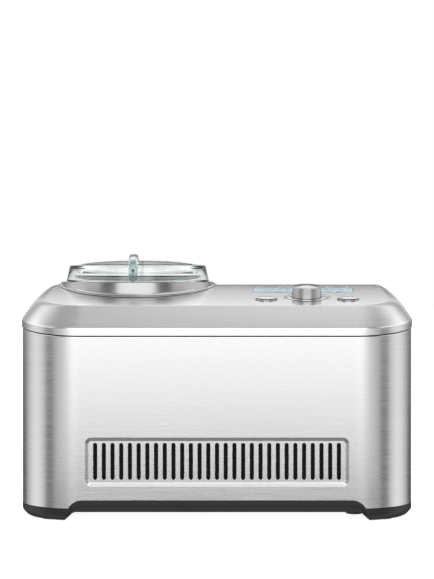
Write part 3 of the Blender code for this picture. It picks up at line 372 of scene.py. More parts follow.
def moulded(name, colour, roughness, grain=2200.0, depth=0.00006, **sockets):
    """Moulded plastic or rubber: a fine spark-eroded grain and faint blotches of gloss."""
    shader = Shader(name, colour, roughness, **sockets)
    fine = shader.noise(grain, 2.0)
    cloud = shader.noise(22.0)
    shader.tint(cloud, scaled(colour, 0.88), scaled(colour, 1.1))
    shader.gloss(cloud, *(roughness + stray for stray in GLOSS_SPREAD))
    shader.bump(fine, 0.25, depth)
    return shader.material


def polished(name, colour, roughness):
    """Polished metal with faint smears."""
    shader = Shader(name, colour, roughness, 1.0)
    smears = shader.noise((30.0, 30.0, 900.0))
    shader.gloss(smears, max(0.02, roughness - 0.02), roughness + 0.03)
    shader.tint(smears, scaled(colour, 0.97), colour)
    return shader.material


def clear_plastic(name, tint):
    """Clear moulded plastic, very slightly green, with faint flow marks."""
    shader = Shader(name, tint, 0.02, 0.0, IOR=1.49, Transmission_Weight=1.0)
    flow = shader.noise(35.0, 2.0)
    shader.gloss(flow, *CLEAR_GLOSS)
    shader.tint(flow, scaled(tint, 0.985), tint)
    return shader.material


# ---- Cabinet surfaces ----
FLAT_Y = HALF_DEPTH - CORNER_RADIUS
SIDE_SHARES = (0.02, 0.04, 0.07, 0.11, 0.16, 0.22, 0.3, 0.38, 0.46, 0.54, 0.62, 0.7, 0.78,
               0.86, 0.93)  # points along each side, as shares of its flat half


def cabinet_outline(inset=0.0):
    """(x, y, normal x, normal y) round the cabinet from the middle of the right side."""
    levels = [0.0, *(FLAT_Y * share for share in SIDE_SHARES)]
    radius = CORNER_RADIUS - inset
    points = [(HALF_WIDTH - inset, y, 1.0, 0.0) for y in levels]
    for sign_x, start in ((1, 0), (-1, 90)):
        centre_x = sign_x * (HALF_WIDTH - CORNER_RADIUS)
        for i in range(CORNER_STEPS + 1):
            angle = math.radians(start + 90.0 * i / CORNER_STEPS)
            normal = (math.cos(angle), math.sin(angle))
            points.append((centre_x + radius * normal[0], FLAT_Y + radius * normal[1], *normal))
    points += [(-HALF_WIDTH + inset, y, -1.0, 0.0) for y in reversed(levels)]
    points += [(-x, -y, -nx, -ny) for x, y, nx, ny in points[1:-1]]
    return points


def ring_at(inset, height):
    level = height if callable(height) else (lambda y: height)
    return [(x, y, level(y)) for x, y, _, _ in cabinet_outline(inset)]


def seam_height(y):
    return SEAM_FRONT + SEAM_RISE * (1.0 - (y / HALF_DEPTH) ** 2)


def sleeve_top(y):
    return seam_height(y) - SEAM_GAP


def deck_height(y):
    pitch = math.hypot(DECK_SLOPE * y, RIDGE_SOFT) - RIDGE_SOFT
    return RIDGE_HEIGHT - pitch - DECK_CROWN * y * y


def on_deck(x, y, lift=0.0):
    """Places a piece on the deck, +Z square to it."""
    slope = -DECK_SLOPE**2 * y / math.hypot(DECK_SLOPE * y, RIDGE_SOFT) - 2 * DECK_CROWN * y
    tilt = Matrix.Rotation(math.atan(slope), 4, "X")
    return Matrix.Translation((x, y, deck_height(y))) @ tilt @ Matrix.Translation((0, 0, lift))


def crease_ring(inset):
    """Where the bevel would meet the deck in a sharp edge."""
    ring = []
    for x, y, nx, ny in cabinet_outline(inset):
        run = 0.0
        for _ in range(CREASE_PASSES):
            run = BEVEL_RUN * (deck_height(y - ny * run) - seam_height(y) - RIM_HEIGHT)
        ring.append((x - nx * run, y - ny * run, deck_height(y - ny * run)))
    return ring


def arch_bar(name, along, half_flat, drop):
    """A bar that cuts the raised lower edge between two corners, right through the cabinet."""
    rise = ARCH_TOP - STEEL_LOW
    end = math.sqrt(ARCH_RADIUS**2 - (ARCH_RADIUS - rise) ** 2)
    edge = []
    for i in range(ARCH_STEPS + 1):
        run = end * i / ARCH_STEPS
        height = ARCH_TOP - drop - ARCH_RADIUS + math.sqrt(ARCH_RADIUS**2 - run**2)
        edge.append((half_flat + run, height))
    edge.append((edge[-1][0], BELOW))
    outline = edge + [(-u, v) for u, v in reversed(edge)]
    return hide_tool(extruded(name, outline, along, -THROUGH, THROUGH))


def make_cover(skin, deck_material, inside):
    """The pressed cover: rim, bevel and pitched deck, with soft creases and control holes."""
    bm = bmesh.new()
    rim = ring_at(FLUSH, lambda y: seam_height(y) + RIM_HEIGHT)
    crease = crease_ring(FLUSH)
    normals = [(nx, ny) for _, _, nx, ny in cabinet_outline()]
    slope_end, deck_start = [], []
    for foot, top, (nx, ny) in zip(rim, crease, normals):
        run = FRONT_ROUND + (SIDE_ROUND - FRONT_ROUND) * nx * nx
        slope = (Vector(top) - Vector(foot)).length
        slope_end.append(Vector(top).lerp(Vector(foot), run * BEVEL_ROUND / slope))
        y = top[1] - ny * run
        deck_start.append(Vector((top[0] - nx * run, y, deck_height(y))))
    rings = [ring_at(FLUSH, seam_height), rim]
    for share in QUARTERS:
        bulge = BEVEL_BULGE * 4 * share * (1 - share)
        rings.append([Vector(low).lerp(high, share) + bulge * Vector((nx, ny, BEVEL_TILT))
                      for low, high, (nx, ny) in zip(rim, slope_end, normals)])
    for share in (k / ROUND_STEPS for k in range(1, ROUND_STEPS + 1)):
        rings.append([a.lerp(Vector(b), share).lerp(Vector(b).lerp(c, share), share)
                      for a, b, c in zip(slope_end, crease, deck_start)])
    layers = [[bm.verts.new(point) for point in ring] for ring in rings]
    for lower, upper in zip(layers, layers[1:]):
        wrap(bm, lower, upper)
    top, count = layers[-1], len(rim)
    opposite = count // 2
    reach = (opposite - 1) // 2
    for i in range(-reach, reach):
        face = bm.faces.new((top[i], top[i + 1], top[opposite - i - 1], top[opposite - i]))
        face.material_index = 1
    weight = bm.edges.layers.float.new("bevel_weight_edge")
    for i in range(count):
        bm.edges.get((layers[1][i], layers[1][(i + 1) % count]))[weight] = 1.0
    cover = as_object(bm, "cover_skin")
    modify(cover, "BEVEL", "rim_edge", width=EDGE_ROUND, segments=3, limit_method="WEIGHT")
    modify(cover, "SOLIDIFY", "sheet", thickness=SHEET, offset=-1.0, use_even_offset=True,
           material_offset=2)
    combine(cover, turned("well_tool", disc(WELL_RADIUS, WELL_LOW, WELL_HIGH), (WELL_X, 0)))
    for name, (x, y, radius) in CONTROL_HOLES.items():
        plug = disc(radius, -HOLE_REACH, HOLE_REACH)
        combine(cover, deck_piece(name + "_tool", plug, x, y, 48))
    outline = rounded(WINDOW_HALF_X + WINDOW_PLAY, WINDOW_HALF_Y + WINDOW_PLAY, WINDOW_CORNER)
    window = extruded("window_tool", outline, "Z", -HOLE_REACH, HOLE_REACH)
    window.matrix_world = on_deck(WINDOW_X, WINDOW_Y)
    combine(cover, window)
    for material in (skin, deck_material, inside, inside):
        cover.data.materials.append(material)
    bake(cover)
    smooth(cover, 40.0, 50)
    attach(cover, "root")
    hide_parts("top_cover")


def across(name):
    """Middle and half-length of a node in X."""
    low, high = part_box(name)
    return (low.x + high.x) / 2, (high.x - low.x) / 2


WELL_RADIUS, WELL_LOW, WELL_HIGH = COLLAR_RADIUS + 0.0013, 0.17, 0.27
WINDOW_PLAY, WINDOW_CORNER = 0.0002, 0.003
BUTTON_Y, SMALL_KEY_Y, WINDOW_Y, WINDOW_HALF_Y = -0.097, -0.0205, -0.0472, 0.01425
WINDOW_X, WINDOW_HALF_X = across("display_window")
KNOB_X, KNOB_Y = JOINTS["knob_turn"]["pos_m"][:2]
CONTROL_HOLES = {"control_knob": (KNOB_X, KNOB_Y, 0.004)}  # x, y, radius
KEYS = {"power_button": BUTTON_Y, "start_button": BUTTON_Y,
        **{f"setting_button_{i}": SMALL_KEY_Y for i in range(1, 5)}}
for key, key_y in KEYS.items():
    CONTROL_HOLES[key] = (across(key)[0], key_y, across(key)[1] + KEY_CLEARANCE)

SLOT_PITCH, SLOT_WIDTH = 0.00854, 0.0041
SLOT_FOOT = ((-1, 1), (-0.45, 0.28), (0, 0), (0.45, 0.28), (1, 1))  # in half widths
FRONT_SLOTS, FRONT_SLOT_LOW, FRONT_SLOT_HIGH = 29, 0.0417, 0.0784
REAR_SLOTS, REAR_SLOT_LOW, REAR_SLOT_HIGH, REAR_SLOT_X = 13, 0.09, 0.13, 0.07
PANEL_HALF_X, PANEL_LOW, PANEL_HIGH = 0.1294, 0.0359, 0.0836
PANEL_MIDDLE, PANEL_HALF_Z = (PANEL_LOW + PANEL_HIGH) / 2, (PANEL_HIGH - PANEL_LOW) / 2
PANEL_SLOPE, PANEL_DEPTH, PANEL_CORNER, PANEL_SHEET = 0.0034, 0.0015, 0.006, 0.0011
PANEL_ROUND = 0.0006  # how round the pressed panel's slanted edge is at its top and foot
FOOT_CORNER, FLOOR_CORNER = 0.0033, 0.0027
# The near-black sheet behind the front slots is painted shade for the dark inside of the cabinet.
SHADE_SHEET, SHADE_INSET, SHADE_CORNER = 0.0006, 0.004, 0.002
INLET_CORNER, INLET_NEAR, INLET_FAR = 0.0043, 0.12, 0.16
FRONT_FACE = -HALF_DEPTH + SLEEVE_INSET
WALL_ZONE = 0.0719  # faces this near to the outside belong to the sleeve's own walls


def slot_bars(name, centre_x, count, low, high, wall_y):
    """A row of upright slots with round tops and slightly pointed feet, as separate bars."""
    bm = bmesh.new()
    half = SLOT_WIDTH / 2
    for i in range(count):
        x = centre_x + (i - (count - 1) / 2) * SLOT_PITCH
        outline = arc(x, high - half, half, 0, 180, 10)
        outline += [(x + u * half, low + v * half) for u, v in SLOT_FOOT]
        front, back = ([bm.verts.new((u, wall_y + reach, v)) for u, v in outline]
                       for reach in (-WALL_REACH, WALL_REACH))
        bm.faces.new(front)
        bm.faces.new(back)
        wrap(bm, front, back)
    return as_object(bm, name)


def panel_line(inset, corner):
    """The vent panel's outline, moved in by an inset."""
    return rounded(PANEL_HALF_X - inset, PANEL_HALF_Z - inset, corner, middle_v=PANEL_MIDDLE)


def make_sleeve(skin, inside):
    """The wrapped sheet with its rounded edges, raised lower edge, vent window and rear slots."""
    outer, inner, soft = SLEEVE_INSET, SLEEVE_INSET + SHEET, SLEEVE_ROUND
    rings = [
        ring_at(outer + soft, STEEL_LOW), ring_at(outer, STEEL_LOW + soft),
        ring_at(outer, lambda y: sleeve_top(y) - soft * 1.6),
        ring_at(outer + soft * 0.5, lambda y: sleeve_top(y) - soft * 0.5),
        ring_at(outer + soft * 1.6, sleeve_top),
        ring_at(inner, sleeve_top), ring_at(inner, STEEL_LOW),
    ]
    sleeve = loft("sleeve_skin", rings, closed=True)
    combine(sleeve, arch_bar("sleeve_arch_front", "Y", ARCH_HALF_X, 0.0))
    combine(sleeve, arch_bar("sleeve_arch_side", "X", ARCH_HALF_Y, 0.0))
    combine(sleeve, extruded("panel_tool", panel_line(-FLUSH, PANEL_CORNER), "Y",
                             FRONT_FACE - WALL_REACH, FRONT_FACE + WALL_REACH))
    combine(sleeve, slot_bars("rear_slot_tool", REAR_SLOT_X, REAR_SLOTS, REAR_SLOT_LOW,
                              REAR_SLOT_HIGH, -FRONT_FACE))
    low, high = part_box("inlet_surround")
    plate = rounded((high.x - low.x) / 2 + GAP, (high.z - low.z) / 2 + GAP, INLET_CORNER)
    outline = [(u + (low.x + high.x) / 2, v + (low.z + high.z) / 2) for u, v in plate]
    combine(sleeve, extruded("inlet_tool", outline, "Y", INLET_NEAR, INLET_FAR))
    bake(sleeve)
    smooth(sleeve, 28.0)
    dress(sleeve, "root", "brushed_steel", skin, inside, nodes=["body_sleeve"])
    for polygon in sleeve.data.polygons:
        centre, normal = polygon.center, polygon.normal
        facing_in = normal.dot(Vector((centre.x, centre.y, 0.0))) < 0.0 and abs(normal.z) < 0.5
        in_wall = abs(centre.x) > HALF_WIDTH - WALL_ZONE or abs(centre.y) > HALF_DEPTH - WALL_ZONE
        if facing_in and in_wall:
            polygon.material_index = 1


def make_vent(skin, inside, slot_shade):
    """The pressed vent panel in the sleeve's window, and a near-black sheet behind its slots that
    paints in the shade inside them.
    """
    edge = panel_line(0.0, PANEL_CORNER)
    lip = panel_line(PANEL_ROUND, PANEL_CORNER - PANEL_ROUND)
    foot = panel_line(PANEL_SLOPE - PANEL_ROUND, FOOT_CORNER)
    floor = panel_line(PANEL_SLOPE, FLOOR_CORNER)
    levels = [(floor, PANEL_DEPTH), (foot, PANEL_DEPTH - 0.0002), (lip, 0.0002), (edge, 0.0),
              (edge, PANEL_SHEET), (floor, PANEL_DEPTH + PANEL_SHEET)]
    panel = loft("vent_panel", [[(u, FRONT_FACE + depth, v) for u, v in line]
                                for line, depth in levels])
    combine(panel, slot_bars("front_slot_tool", 0.0, FRONT_SLOTS, FRONT_SLOT_LOW,
                             FRONT_SLOT_HIGH, FRONT_FACE))
    bake(panel)
    smooth(panel, 28.0)
    dress(panel, "root", "brushed_steel", skin, inside)
    for polygon in panel.data.polygons:
        if polygon.normal.y > 0.9:
            polygon.material_index = 1
    # A near-black sheet behind the slots: painted shade, so that they read dark.
    back = FRONT_FACE + PANEL_DEPTH + PANEL_SHEET + GAP
    mat = extruded("slot_shade_sheet", panel_line(SHADE_INSET, SHADE_CORNER), "Y",
                   back, back + SHADE_SHEET)
    dress(mat, "root", "black_plastic", slot_shade)


FOOT_BOTTOM, FLOOR_TOP, TRAY_WALL_TOP, TRAY_WALL = 0.0013, 0.0145, 0.026, 0.003
FOOT_CHAMFER_TOP, FOOT_CHAMFER, FOOT_SLANT = 0.008, 0.0055, 0.009
FOOT_INNER_X, FOOT_INNER_Y = 0.15, 0.093
LIP_RECESS = 0.003
BOSS_X, BOSS_Y, BOSS_RADIUS, BOSS_LOW = 0.139, -0.085, 0.0094, 0.0015
BOSS_ROUND = 0.002
CHAMFER_BULGE = 0.0006
FOOT_EDGE = 0.0006  # how round the feet's inner edges are


def band_tool(name, inset, low, high):
    """A tool that runs round the cabinet, from outside it in to an inset."""
    levels = ((OUTSIDE, low), (OUTSIDE, high), (inset, high), (inset, low))
    return loft(name, [ring_at(*level) for level in levels], closed=True)


def make_base(plastic):
    """The moulded base: lip under the steel, recess below it, chamfered feet and round boss."""
    flush = SLEEVE_INSET
    edge_inset, edge_height = FOOT_CHAMFER - 0.0005, FOOT_BOTTOM + 0.0008
    rings = [ring_at(flush + FOOT_CHAMFER + 0.0012, FOOT_BOTTOM),
             ring_at(flush + edge_inset, edge_height)]
    for share in QUARTERS:
        bulge = CHAMFER_BULGE * math.sin(math.pi * share)
        rings.append(ring_at(flush + edge_inset * (1 - share) - bulge,
                             edge_height + (FOOT_CHAMFER_TOP - edge_height) * share))
    rings.append(ring_at(flush, TRAY_WALL_TOP))
    base = loft("base_skin", rings)
    inner = flush + SHEET + GAP
    room = band_tool("room_tool", inner, STEEL_LOW - GAP, 0.04)
    combine(room, arch_bar("room_front", "Y", ARCH_HALF_X, GAP))
    combine(room, arch_bar("room_side", "X", ARCH_HALF_Y, GAP))
    bake(room)
    recess = band_tool("recess_tool", flush + LIP_RECESS, BELOW, 0.03)
    bars = arch_bar("recess_front", "Y", ARCH_HALF_X, LIP_HEIGHT)
    combine(bars, arch_bar("recess_side", "X", ARCH_HALF_Y, LIP_HEIGHT), "UNION")
    bake(bars)
    combine(recess, bars, "INTERSECT")
    bake(recess)
    pocket = loft("pocket_tool", [ring_at(inner + TRAY_WALL, height)
                                  for height in (FLOOR_TOP, 0.05)])
    for tool in (pocket, room, recess):
        combine(base, tool)
    for name, along, half_low in (("gap_x", "Y", FOOT_INNER_X), ("gap_y", "X", FOOT_INNER_Y)):
        half_high = half_low - FOOT_SLANT
        outline = [(-half_low, FOOT_BOTTOM + FOOT_EDGE), (-half_low - FOOT_EDGE, BELOW),
                   (half_low + FOOT_EDGE, BELOW), (half_low, FOOT_BOTTOM + FOOT_EDGE),
                   (half_high + 0.001, UNDERSIDE - 0.001), (half_high - 0.0014, UNDERSIDE),
                   (-half_high + 0.0014, UNDERSIDE), (-half_high - 0.001, UNDERSIDE - 0.001)]
        combine(base, extruded(name, outline, along, -THROUGH, THROUGH))
    root = UNDERSIDE + 0.001
    boss = [(0, root), (BOSS_RADIUS, root), (BOSS_RADIUS, BOSS_LOW + BOSS_ROUND),
            (BOSS_RADIUS - 0.0006, BOSS_LOW + 0.0006), (BOSS_RADIUS - BOSS_ROUND, BOSS_LOW),
            (0, BOSS_LOW)]
    combine(base, turned("boss_tool", boss, (BOSS_X, BOSS_Y), 40), "UNION")
    bake(base)
    smooth(base, 32.0)
    dress(base, "root", "black_plastic", plastic, nodes=["base_tray"])


# ---- Collar, lid and handle ----
COLLAR_STEPS, COLLAR_DRAFT = 144, 0.085
FLARE_STEPS, FLARE_CURVE = 8, 2.4
FLARE_RISE = 0.0036  # how far up the wall the flare begins,
FLARE_START = 0.0013  # and how far outside the wall its own finish does
LID_RIM_INNER, LID_DOME_RADIUS, LID_RIM_RADIUS = 0.069, 0.0654, 0.0719
LID_RIM_TOP, LID_DOME_EDGE = 0.2527, 0.2533
LID_SHEET, LINER_SHEET = 0.0018, 0.0015
DOME_CURVE = 2.6
HANDLE_TURN = math.radians(-1.0)


def make_collar(metal, flare_metal):
    """Polished ring, level on top, with a hollow flare that settles onto the pitched deck."""
    sections = []
    for cos, sin in circle(COLLAR_STEPS):
        flare = FLARE_SIDE + (COLLAR_FLARE - FLARE_SIDE) * sin**2
        deck = deck_height(flare * sin) + GAP
        seat = deck_height((COLLAR_RADIUS + 0.0004) * sin) + GAP
        wall_low = min(deck + FLARE_RISE, COLLAR_TOP - 0.0014)
        foot = COLLAR_RADIUS + (COLLAR_TOP - wall_low) * COLLAR_DRAFT
        profile = [(COLLAR_LIP, COLLAR_TOP),
                   *near(COLLAR_RADIUS, COLLAR_TOP, (-0.001, 0), (-0.0003, -0.0002), (0, -0.0008))]
        for k in range(FLARE_STEPS + 1):
            share = k / FLARE_STEPS
            drop = 1.0 - (1.0 - share) ** FLARE_CURVE
            profile.append((foot + (flare - 0.0003 - foot) * share,
                            wall_low + (deck + 0.0006 - wall_low) * drop))
        profile += [(flare, deck + 0.0002), (COLLAR_RADIUS + 0.0004, seat),
                    (COLLAR_RADIUS, COLLAR_BASE), (COLLAR_INNER, COLLAR_BASE),
                    (COLLAR_INNER, COLLAR_TOP - 0.0039), (COLLAR_LIP, COLLAR_TOP - 0.0039)]
        sections.append([(WELL_X + r * cos, r * sin, z) for r, z in profile])
    collar = loft("collar_ring", sections, closed=True)
    smooth(collar, 30.0)
    dress(collar, "root", "polished_metal", metal, flare_metal, nodes=["bowl_collar"])
    for polygon in collar.data.polygons:
        x, y, _ = polygon.center
        if math.hypot(x - WELL_X, y) > COLLAR_RADIUS + FLARE_START:
            polygon.material_index = 1


def dome(radius, crown, edge, steps):
    """Points on a shallow dome from its axis out to its edge."""
    return [(radius * i / steps, crown + (edge - crown) * (i / steps) ** DOME_CURVE)
            for i in range(steps + 1)]


def make_lid(clear):
    """Clear lid: a crowned top inside a rim, over a thick leaning wall that is open below."""
    low, crown = LID_LOW.z, LID_HIGH.z
    profile = dome(LID_DOME_RADIUS, crown, LID_DOME_EDGE, 12)
    profile += near(LID_RIM_RADIUS, LID_RIM_TOP, (-0.0014, 0.0002), (-0.0006, -0.0001), (0, -0.001))
    profile += near(LID_RADIUS, low, (-0.0005, 0.002), (-0.0001, 0.0008), (-0.0005, 0.0001))
    profile += near(LID_RIM_INNER, low, (0.001, 0.0001), (0.0002, 0.0009))
    profile += near(LID_RIM_INNER, LID_RIM_TOP, (-0.002, -0.0062), (-0.0046, -0.0034))
    profile += dome(LID_RIM_INNER - 0.006, crown - LID_SHEET, LID_DOME_EDGE - LID_SHEET, 10)[::-1]
    lid = turned("lid_clear", profile, (WELL_X, 0))
    smooth(lid, 38.0)
    dress(lid, "lid", "clear_plastic", clear, nodes=["lid"])


def make_liner(clear):
    """Shallow clear dish that closes the lid from below."""
    low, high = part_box("lid_liner")
    edge, sag = LID_RIM_INNER - 0.0012, high.z - low.z - LINER_SHEET
    upper = [(edge * i / 12, low.z + LINER_SHEET + sag * (i / 12) ** 2) for i in range(13)]
    lower = [(r, z - LINER_SHEET) for r, z in reversed(upper)]
    liner = turned("lid_dish", upper + lower, (WELL_X, 0))
    smooth(liner, 40.0)
    dress(liner, "lid", "clear_plastic", clear, nodes=["lid_liner"])


BAR_AROUND = 20
BAR_SQUARENESS = 0.7  # 1 is a round section, less is squarer
BAR_END_SHRINK = (0.45, 0.8, 0.96)


def squared(value):
    return math.copysign(abs(value) ** BAR_SQUARENESS, value)


def swept_bar(name, path, half_width, half_thick):
    """A bar with a rounded section along a path of (u, v) points in the YZ plane."""
    rings = []
    count = len(path)
    for i, (u, v) in enumerate(path):
        before, after = path[max(0, i - 1)], path[min(count - 1, i + 1)]
        along = Vector((after[0] - before[0], after[1] - before[1])).normalized()
        normal = Vector((-along.y, along.x))
        near_end = min(i, count - 1 - i)
        shrink = BAR_END_SHRINK[near_end] if near_end < len(BAR_END_SHRINK) else 1.0
        ring = []
        for cos, sin in circle(BAR_AROUND):
            side = squared(cos) * half_width * shrink
            out = squared(sin) * half_thick * shrink
            ring.append((side, u + normal.x * out, v + normal.y * out))
        rings.append(ring)
    return loft(name, rings)


GRIP_HALF_THICK, GRIP_HALF_WIDTH = 0.0026, 0.0046
GRIP_REACH = LID_RADIUS + 0.0031
GRIP_BEND_LOW, GRIP_BEND_RUN, GRIP_BEND_END, GRIP_BEND_STEPS = 0.25, 0.0125, 100.0, 8
GRIP_TAIL = [(-0.056, 0.2589), (-0.05, 0.2577), (-0.0478, 0.2574), (-0.046, 0.2572),
             (-0.0455, 0.2571)]
EYE_RISE, EYE_RADIUS, EYE_TUBE = 0.0047, 0.0033, 0.0011
EYE_STEPS, TUBE_STEPS = 40, 12
LUG_HALF_WIDTH = 0.0022


def make_grip(clear, dark):
    """Finger grip at the lid's front edge, with an eye at its foot, and the lug opposite it."""
    low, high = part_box("lid_handle")
    foot, top = low.z + 0.0006, high.z - GRIP_HALF_THICK - 0.0001
    bend_y = -GRIP_REACH + 0.0009
    path = [(-GRIP_REACH, foot), (-GRIP_REACH, foot + 0.0006), (-GRIP_REACH, foot + 0.0014),
            (-GRIP_REACH, 0.244), (bend_y, GRIP_BEND_LOW)]
    for i in range(1, GRIP_BEND_STEPS + 1):
        angle = math.radians(GRIP_BEND_END * i / GRIP_BEND_STEPS)
        path.append((bend_y + GRIP_BEND_RUN * (1 - math.cos(angle)),
                     GRIP_BEND_LOW + (top - GRIP_BEND_LOW) * math.sin(angle)))
    pieces = [swept_bar("lid_grip", path + GRIP_TAIL, GRIP_HALF_WIDTH, GRIP_HALF_THICK)]

    front = -GRIP_REACH - GRIP_HALF_THICK
    ring = []
    for cos, sin in circle(EYE_STEPS):
        section = []
        for out, back in circle(TUBE_STEPS):
            radius = EYE_RADIUS + EYE_TUBE * out
            section.append((radius * cos, front + 0.0009 - EYE_TUBE * 0.8 * back,
                            low.z + EYE_RISE + radius * sin))
        ring.append(section)
    pieces.append(loft("lid_grip_eye", ring, closed=True))
    lug_low, lug_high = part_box("lid_lug")
    wall = LID_RADIUS + 0.0004
    lug = [(wall + 0.0025, lug_low.z), (wall + 0.0018, 0.2478), (0.0752, lug_high.z),
           (LID_RIM_RADIUS + 0.0013, lug_high.z), (wall, lug_low.z)]
    lug = extruded("lid_back_lug", lug, "X", -LUG_HALF_WIDTH, LUG_HALF_WIDTH)
    pieces.append(round_edges(lug, 0.0006, 3))
    # The grip, eye and lug take the darker grip plastic, whose tint is partly painted shade.
    for piece, nodes in zip(pieces, (["lid_handle"], [], ["lid_lug"])):
        bake(piece)
        smooth(piece, 60.0)
        dress(piece, "lid", "clear_plastic", clear, nodes=nodes)
    outline = rounded(0.0015, 0.0018, 0.0004, 3, 0.247)
    pin = extruded("lid_grip_pin", outline, "Y", front + 0.0004, -GRIP_REACH + 0.001)
    bake(round_edges(pin, 0.0002))
    smooth(pin, 40.0)
    dress(pin, "lid", "clear_plastic", dark)
    for piece in (*pieces, pin):
        piece.location = (WELL_X, 0, 0)
        piece.rotation_euler = (0, 0, HANDLE_TURN)


# ---- Controls ----
TRIM_RADIUS = 0.0205
KNOB_HEIGHT, KNOB_SOCKET, KNOB_BORE = 0.0125, 0.009, 0.0033
KNOB_LIFT = 0.0006  # clearance under the knob, and between it and its trim ring
KEY_DEPTH, SMALL_KEY_DEPTH = 0.0045, 0.004
MARK_SHEET, MARK_CORNER = 0.00006, 0.0004
BAR_HALF = 0.0009  # of the marks by the small keys and the bars on the display
DISPLAY_ROWS = ((11, 0.0078, 0.0028, 0.0075), (8, 0.0105, 0.0036, -0.007))


def deck_piece(name, profile, x, y, steps, ring=False):
    piece = turned(name, profile, steps=steps, ring=ring)
    piece.matrix_world = on_deck(x, y)
    return piece


def make_knob(side_metal, top_metal, ring_metal):
    """A slightly domed knob with a drafted side, and the flat trim ring round its foot."""
    base = across("control_knob")[1]
    top, height = base - 0.0007, KNOB_HEIGHT
    face = near(0, height, (0, 0), (0.003, -0.0001), (0.0065, -0.0005))
    face += near(top, height, (-0.003, -0.001), (-0.0018, -0.0009), (-0.0008, -0.0011),
                 (-0.0002, -0.0016))
    side = [(top, height - 0.0022), (base - 0.0001, 0.0016), (base - 0.0003, 0.0008),
            (base - 0.001, KNOB_LIFT), (KNOB_BORE, KNOB_LIFT), (KNOB_BORE, KNOB_SOCKET),
            (0, KNOB_SOCKET)]
    knob = deck_piece("knob_body", face + side, KNOB_X, KNOB_Y, 96)
    smooth(knob, 30.0)
    dress(knob, "knob", "knob_metal", top_metal, side_metal, nodes=["control_knob"])
    strips = len(face + side) - 1
    for polygon in knob.data.polygons:
        polygon.material_index = 0 if polygon.index % strips < len(face) - 1 else 1
    trim = [(base + KNOB_LIFT, 0.0008), (base + 0.0016, 0.001),
            (TRIM_RADIUS - 0.0009, 0.001), (TRIM_RADIUS - 0.0002, 0.0007),
            (TRIM_RADIUS, GAP), (base + KNOB_LIFT, GAP)]
    ring = deck_piece("knob_trim", trim, KNOB_X, KNOB_Y, 96, ring=True)
    smooth(ring, 30.0)
    dress(ring, "root", "knob_metal", ring_metal, nodes=["knob_ring"])


def make_keys(chrome):
    """The two dished keys beside the knob and the four small ones behind the window."""
    for label in ("power", "start"):
        x, radius = across(label + "_button")
        dish = [(radius * share, 0.0002 + 0.001 * share**2)
                for share in (0.0, 0.2, 0.4, 0.6, 0.75, 0.86)]
        dish += [(radius - 0.001, 0.0012), (radius - 0.0004, 0.0011), (radius, 0.0006),
                 (radius, -KEY_DEPTH), (0, -KEY_DEPTH)]
        button = deck_piece(label + "_cap", dish, x, BUTTON_Y, 72)
        smooth(button, 40.0)
        dress(button, label + "_key", "polished_metal", chrome, nodes=[label + "_button"])
    for i in range(1, 5):
        x, radius = across(f"setting_button_{i}")
        cap = [(0, 0.001), (radius - 0.0008, 0.001), (radius - 0.0002, 0.0008),
               (radius, 0.0004), (radius, -SMALL_KEY_DEPTH), (0, -SMALL_KEY_DEPTH)]
        button = deck_piece(f"setting_cap_{i}", cap, x, SMALL_KEY_Y, 40)
        smooth(button, 40.0)
        dress(button, f"setting_key_{i}", "polished_metal", chrome, nodes=[f"setting_button_{i}"])


def printed(name, outline, x, y, ink, lift=0.00003):
    """A thin printed mark lying on the deck."""
    mark = extruded(name, outline, "Z", 0.0, MARK_SHEET)
    mark.matrix_world = on_deck(x, y, lift)
    dress(mark, "root", "black_plastic", ink)


def make_marks(ink):
    """Plain bars and arrows where the labels are."""
    for label in ("power", "start"):
        x = across(label + "_button")[0]
        for k, half in ((-1, 0.0016), (0, 0.0026), (1, 0.0016)):
            printed(f"{label}_mark_{k + 2}", rounded(half, 0.0006, 0.0003, 3),
                    x + k * 0.0055, BUTTON_Y + 0.0158, ink)
    for i in range(1, 5):
        x = across(f"setting_button_{i}")[0]
        bar = rounded(0.0048, BAR_HALF, MARK_CORNER, 3)
        printed(f"setting_mark_{i}", bar, x - 0.0095, SMALL_KEY_Y, ink)
    arrow = [(0.0245, -0.001), (0.0203, 0.0014), (0.0211, -0.0032)]
    for side, name in ((1, "turn_mark_right"), (-1, "turn_mark_left")):
        printed(name, [(side * u, v) for u, v in arrow], KNOB_X, KNOB_Y, ink, lift=0.0012)


def make_display(glass, panel, ink):
    """Clear window over a pale display with plain bars in place of its figures."""
    lens = extruded("window_glass", rounded(WINDOW_HALF_X, WINDOW_HALF_Y, WINDOW_CORNER),
                    "Z", -0.0008, 0.0001)
    backing = extruded("display_panel",
                       rounded(WINDOW_HALF_X - WINDOW_PLAY, WINDOW_HALF_Y - WINDOW_PLAY,
                               WINDOW_CORNER - WINDOW_PLAY), "Z", -0.0018, -0.0011)
    for piece, material, nodes in ((lens, glass, ["display_window"]), (backing, panel, [])):
        piece.matrix_world = on_deck(WINDOW_X, WINDOW_Y)
        bake(round_edges(piece, 0.0002))
        smooth(piece, 40.0)
        dress(piece, "root", "display", material, nodes=nodes)
    for row, (count, pitch, half, v) in enumerate(DISPLAY_ROWS):
        outline = rounded(half, BAR_HALF, MARK_CORNER, 3)
        for i in range(count):
            bar = extruded(f"display_bar_{row + 1}_{i + 1}", outline, "Z", 0.0, 0.00008)
            shift = ((i - (count - 1) / 2) * pitch, v, -0.00109)
            bar.matrix_world = on_deck(WINDOW_X, WINDOW_Y) @ Matrix.Translation(shift)
            dress(bar, "root", "display", ink)


# ---- Bowl, solids carried over from the frame, and inlet pins ----
BOWL_FLANGE, BOWL_WALL, BOWL_CORNER, BOWL_INNER_CORNER = 0.0045, 0.0015, 0.006, 0.005
TOWER_BORE, TOWER_RADIUS, TOWER_TOP = 0.0065, 0.0085, 0.118  # round the drive shaft
PIN_PLACES = ((-0.007, -0.001), (0.0, 0.003), (0.007, -0.001))
PIN_NEAR, PIN_FAR = 0.0184, 0.0035


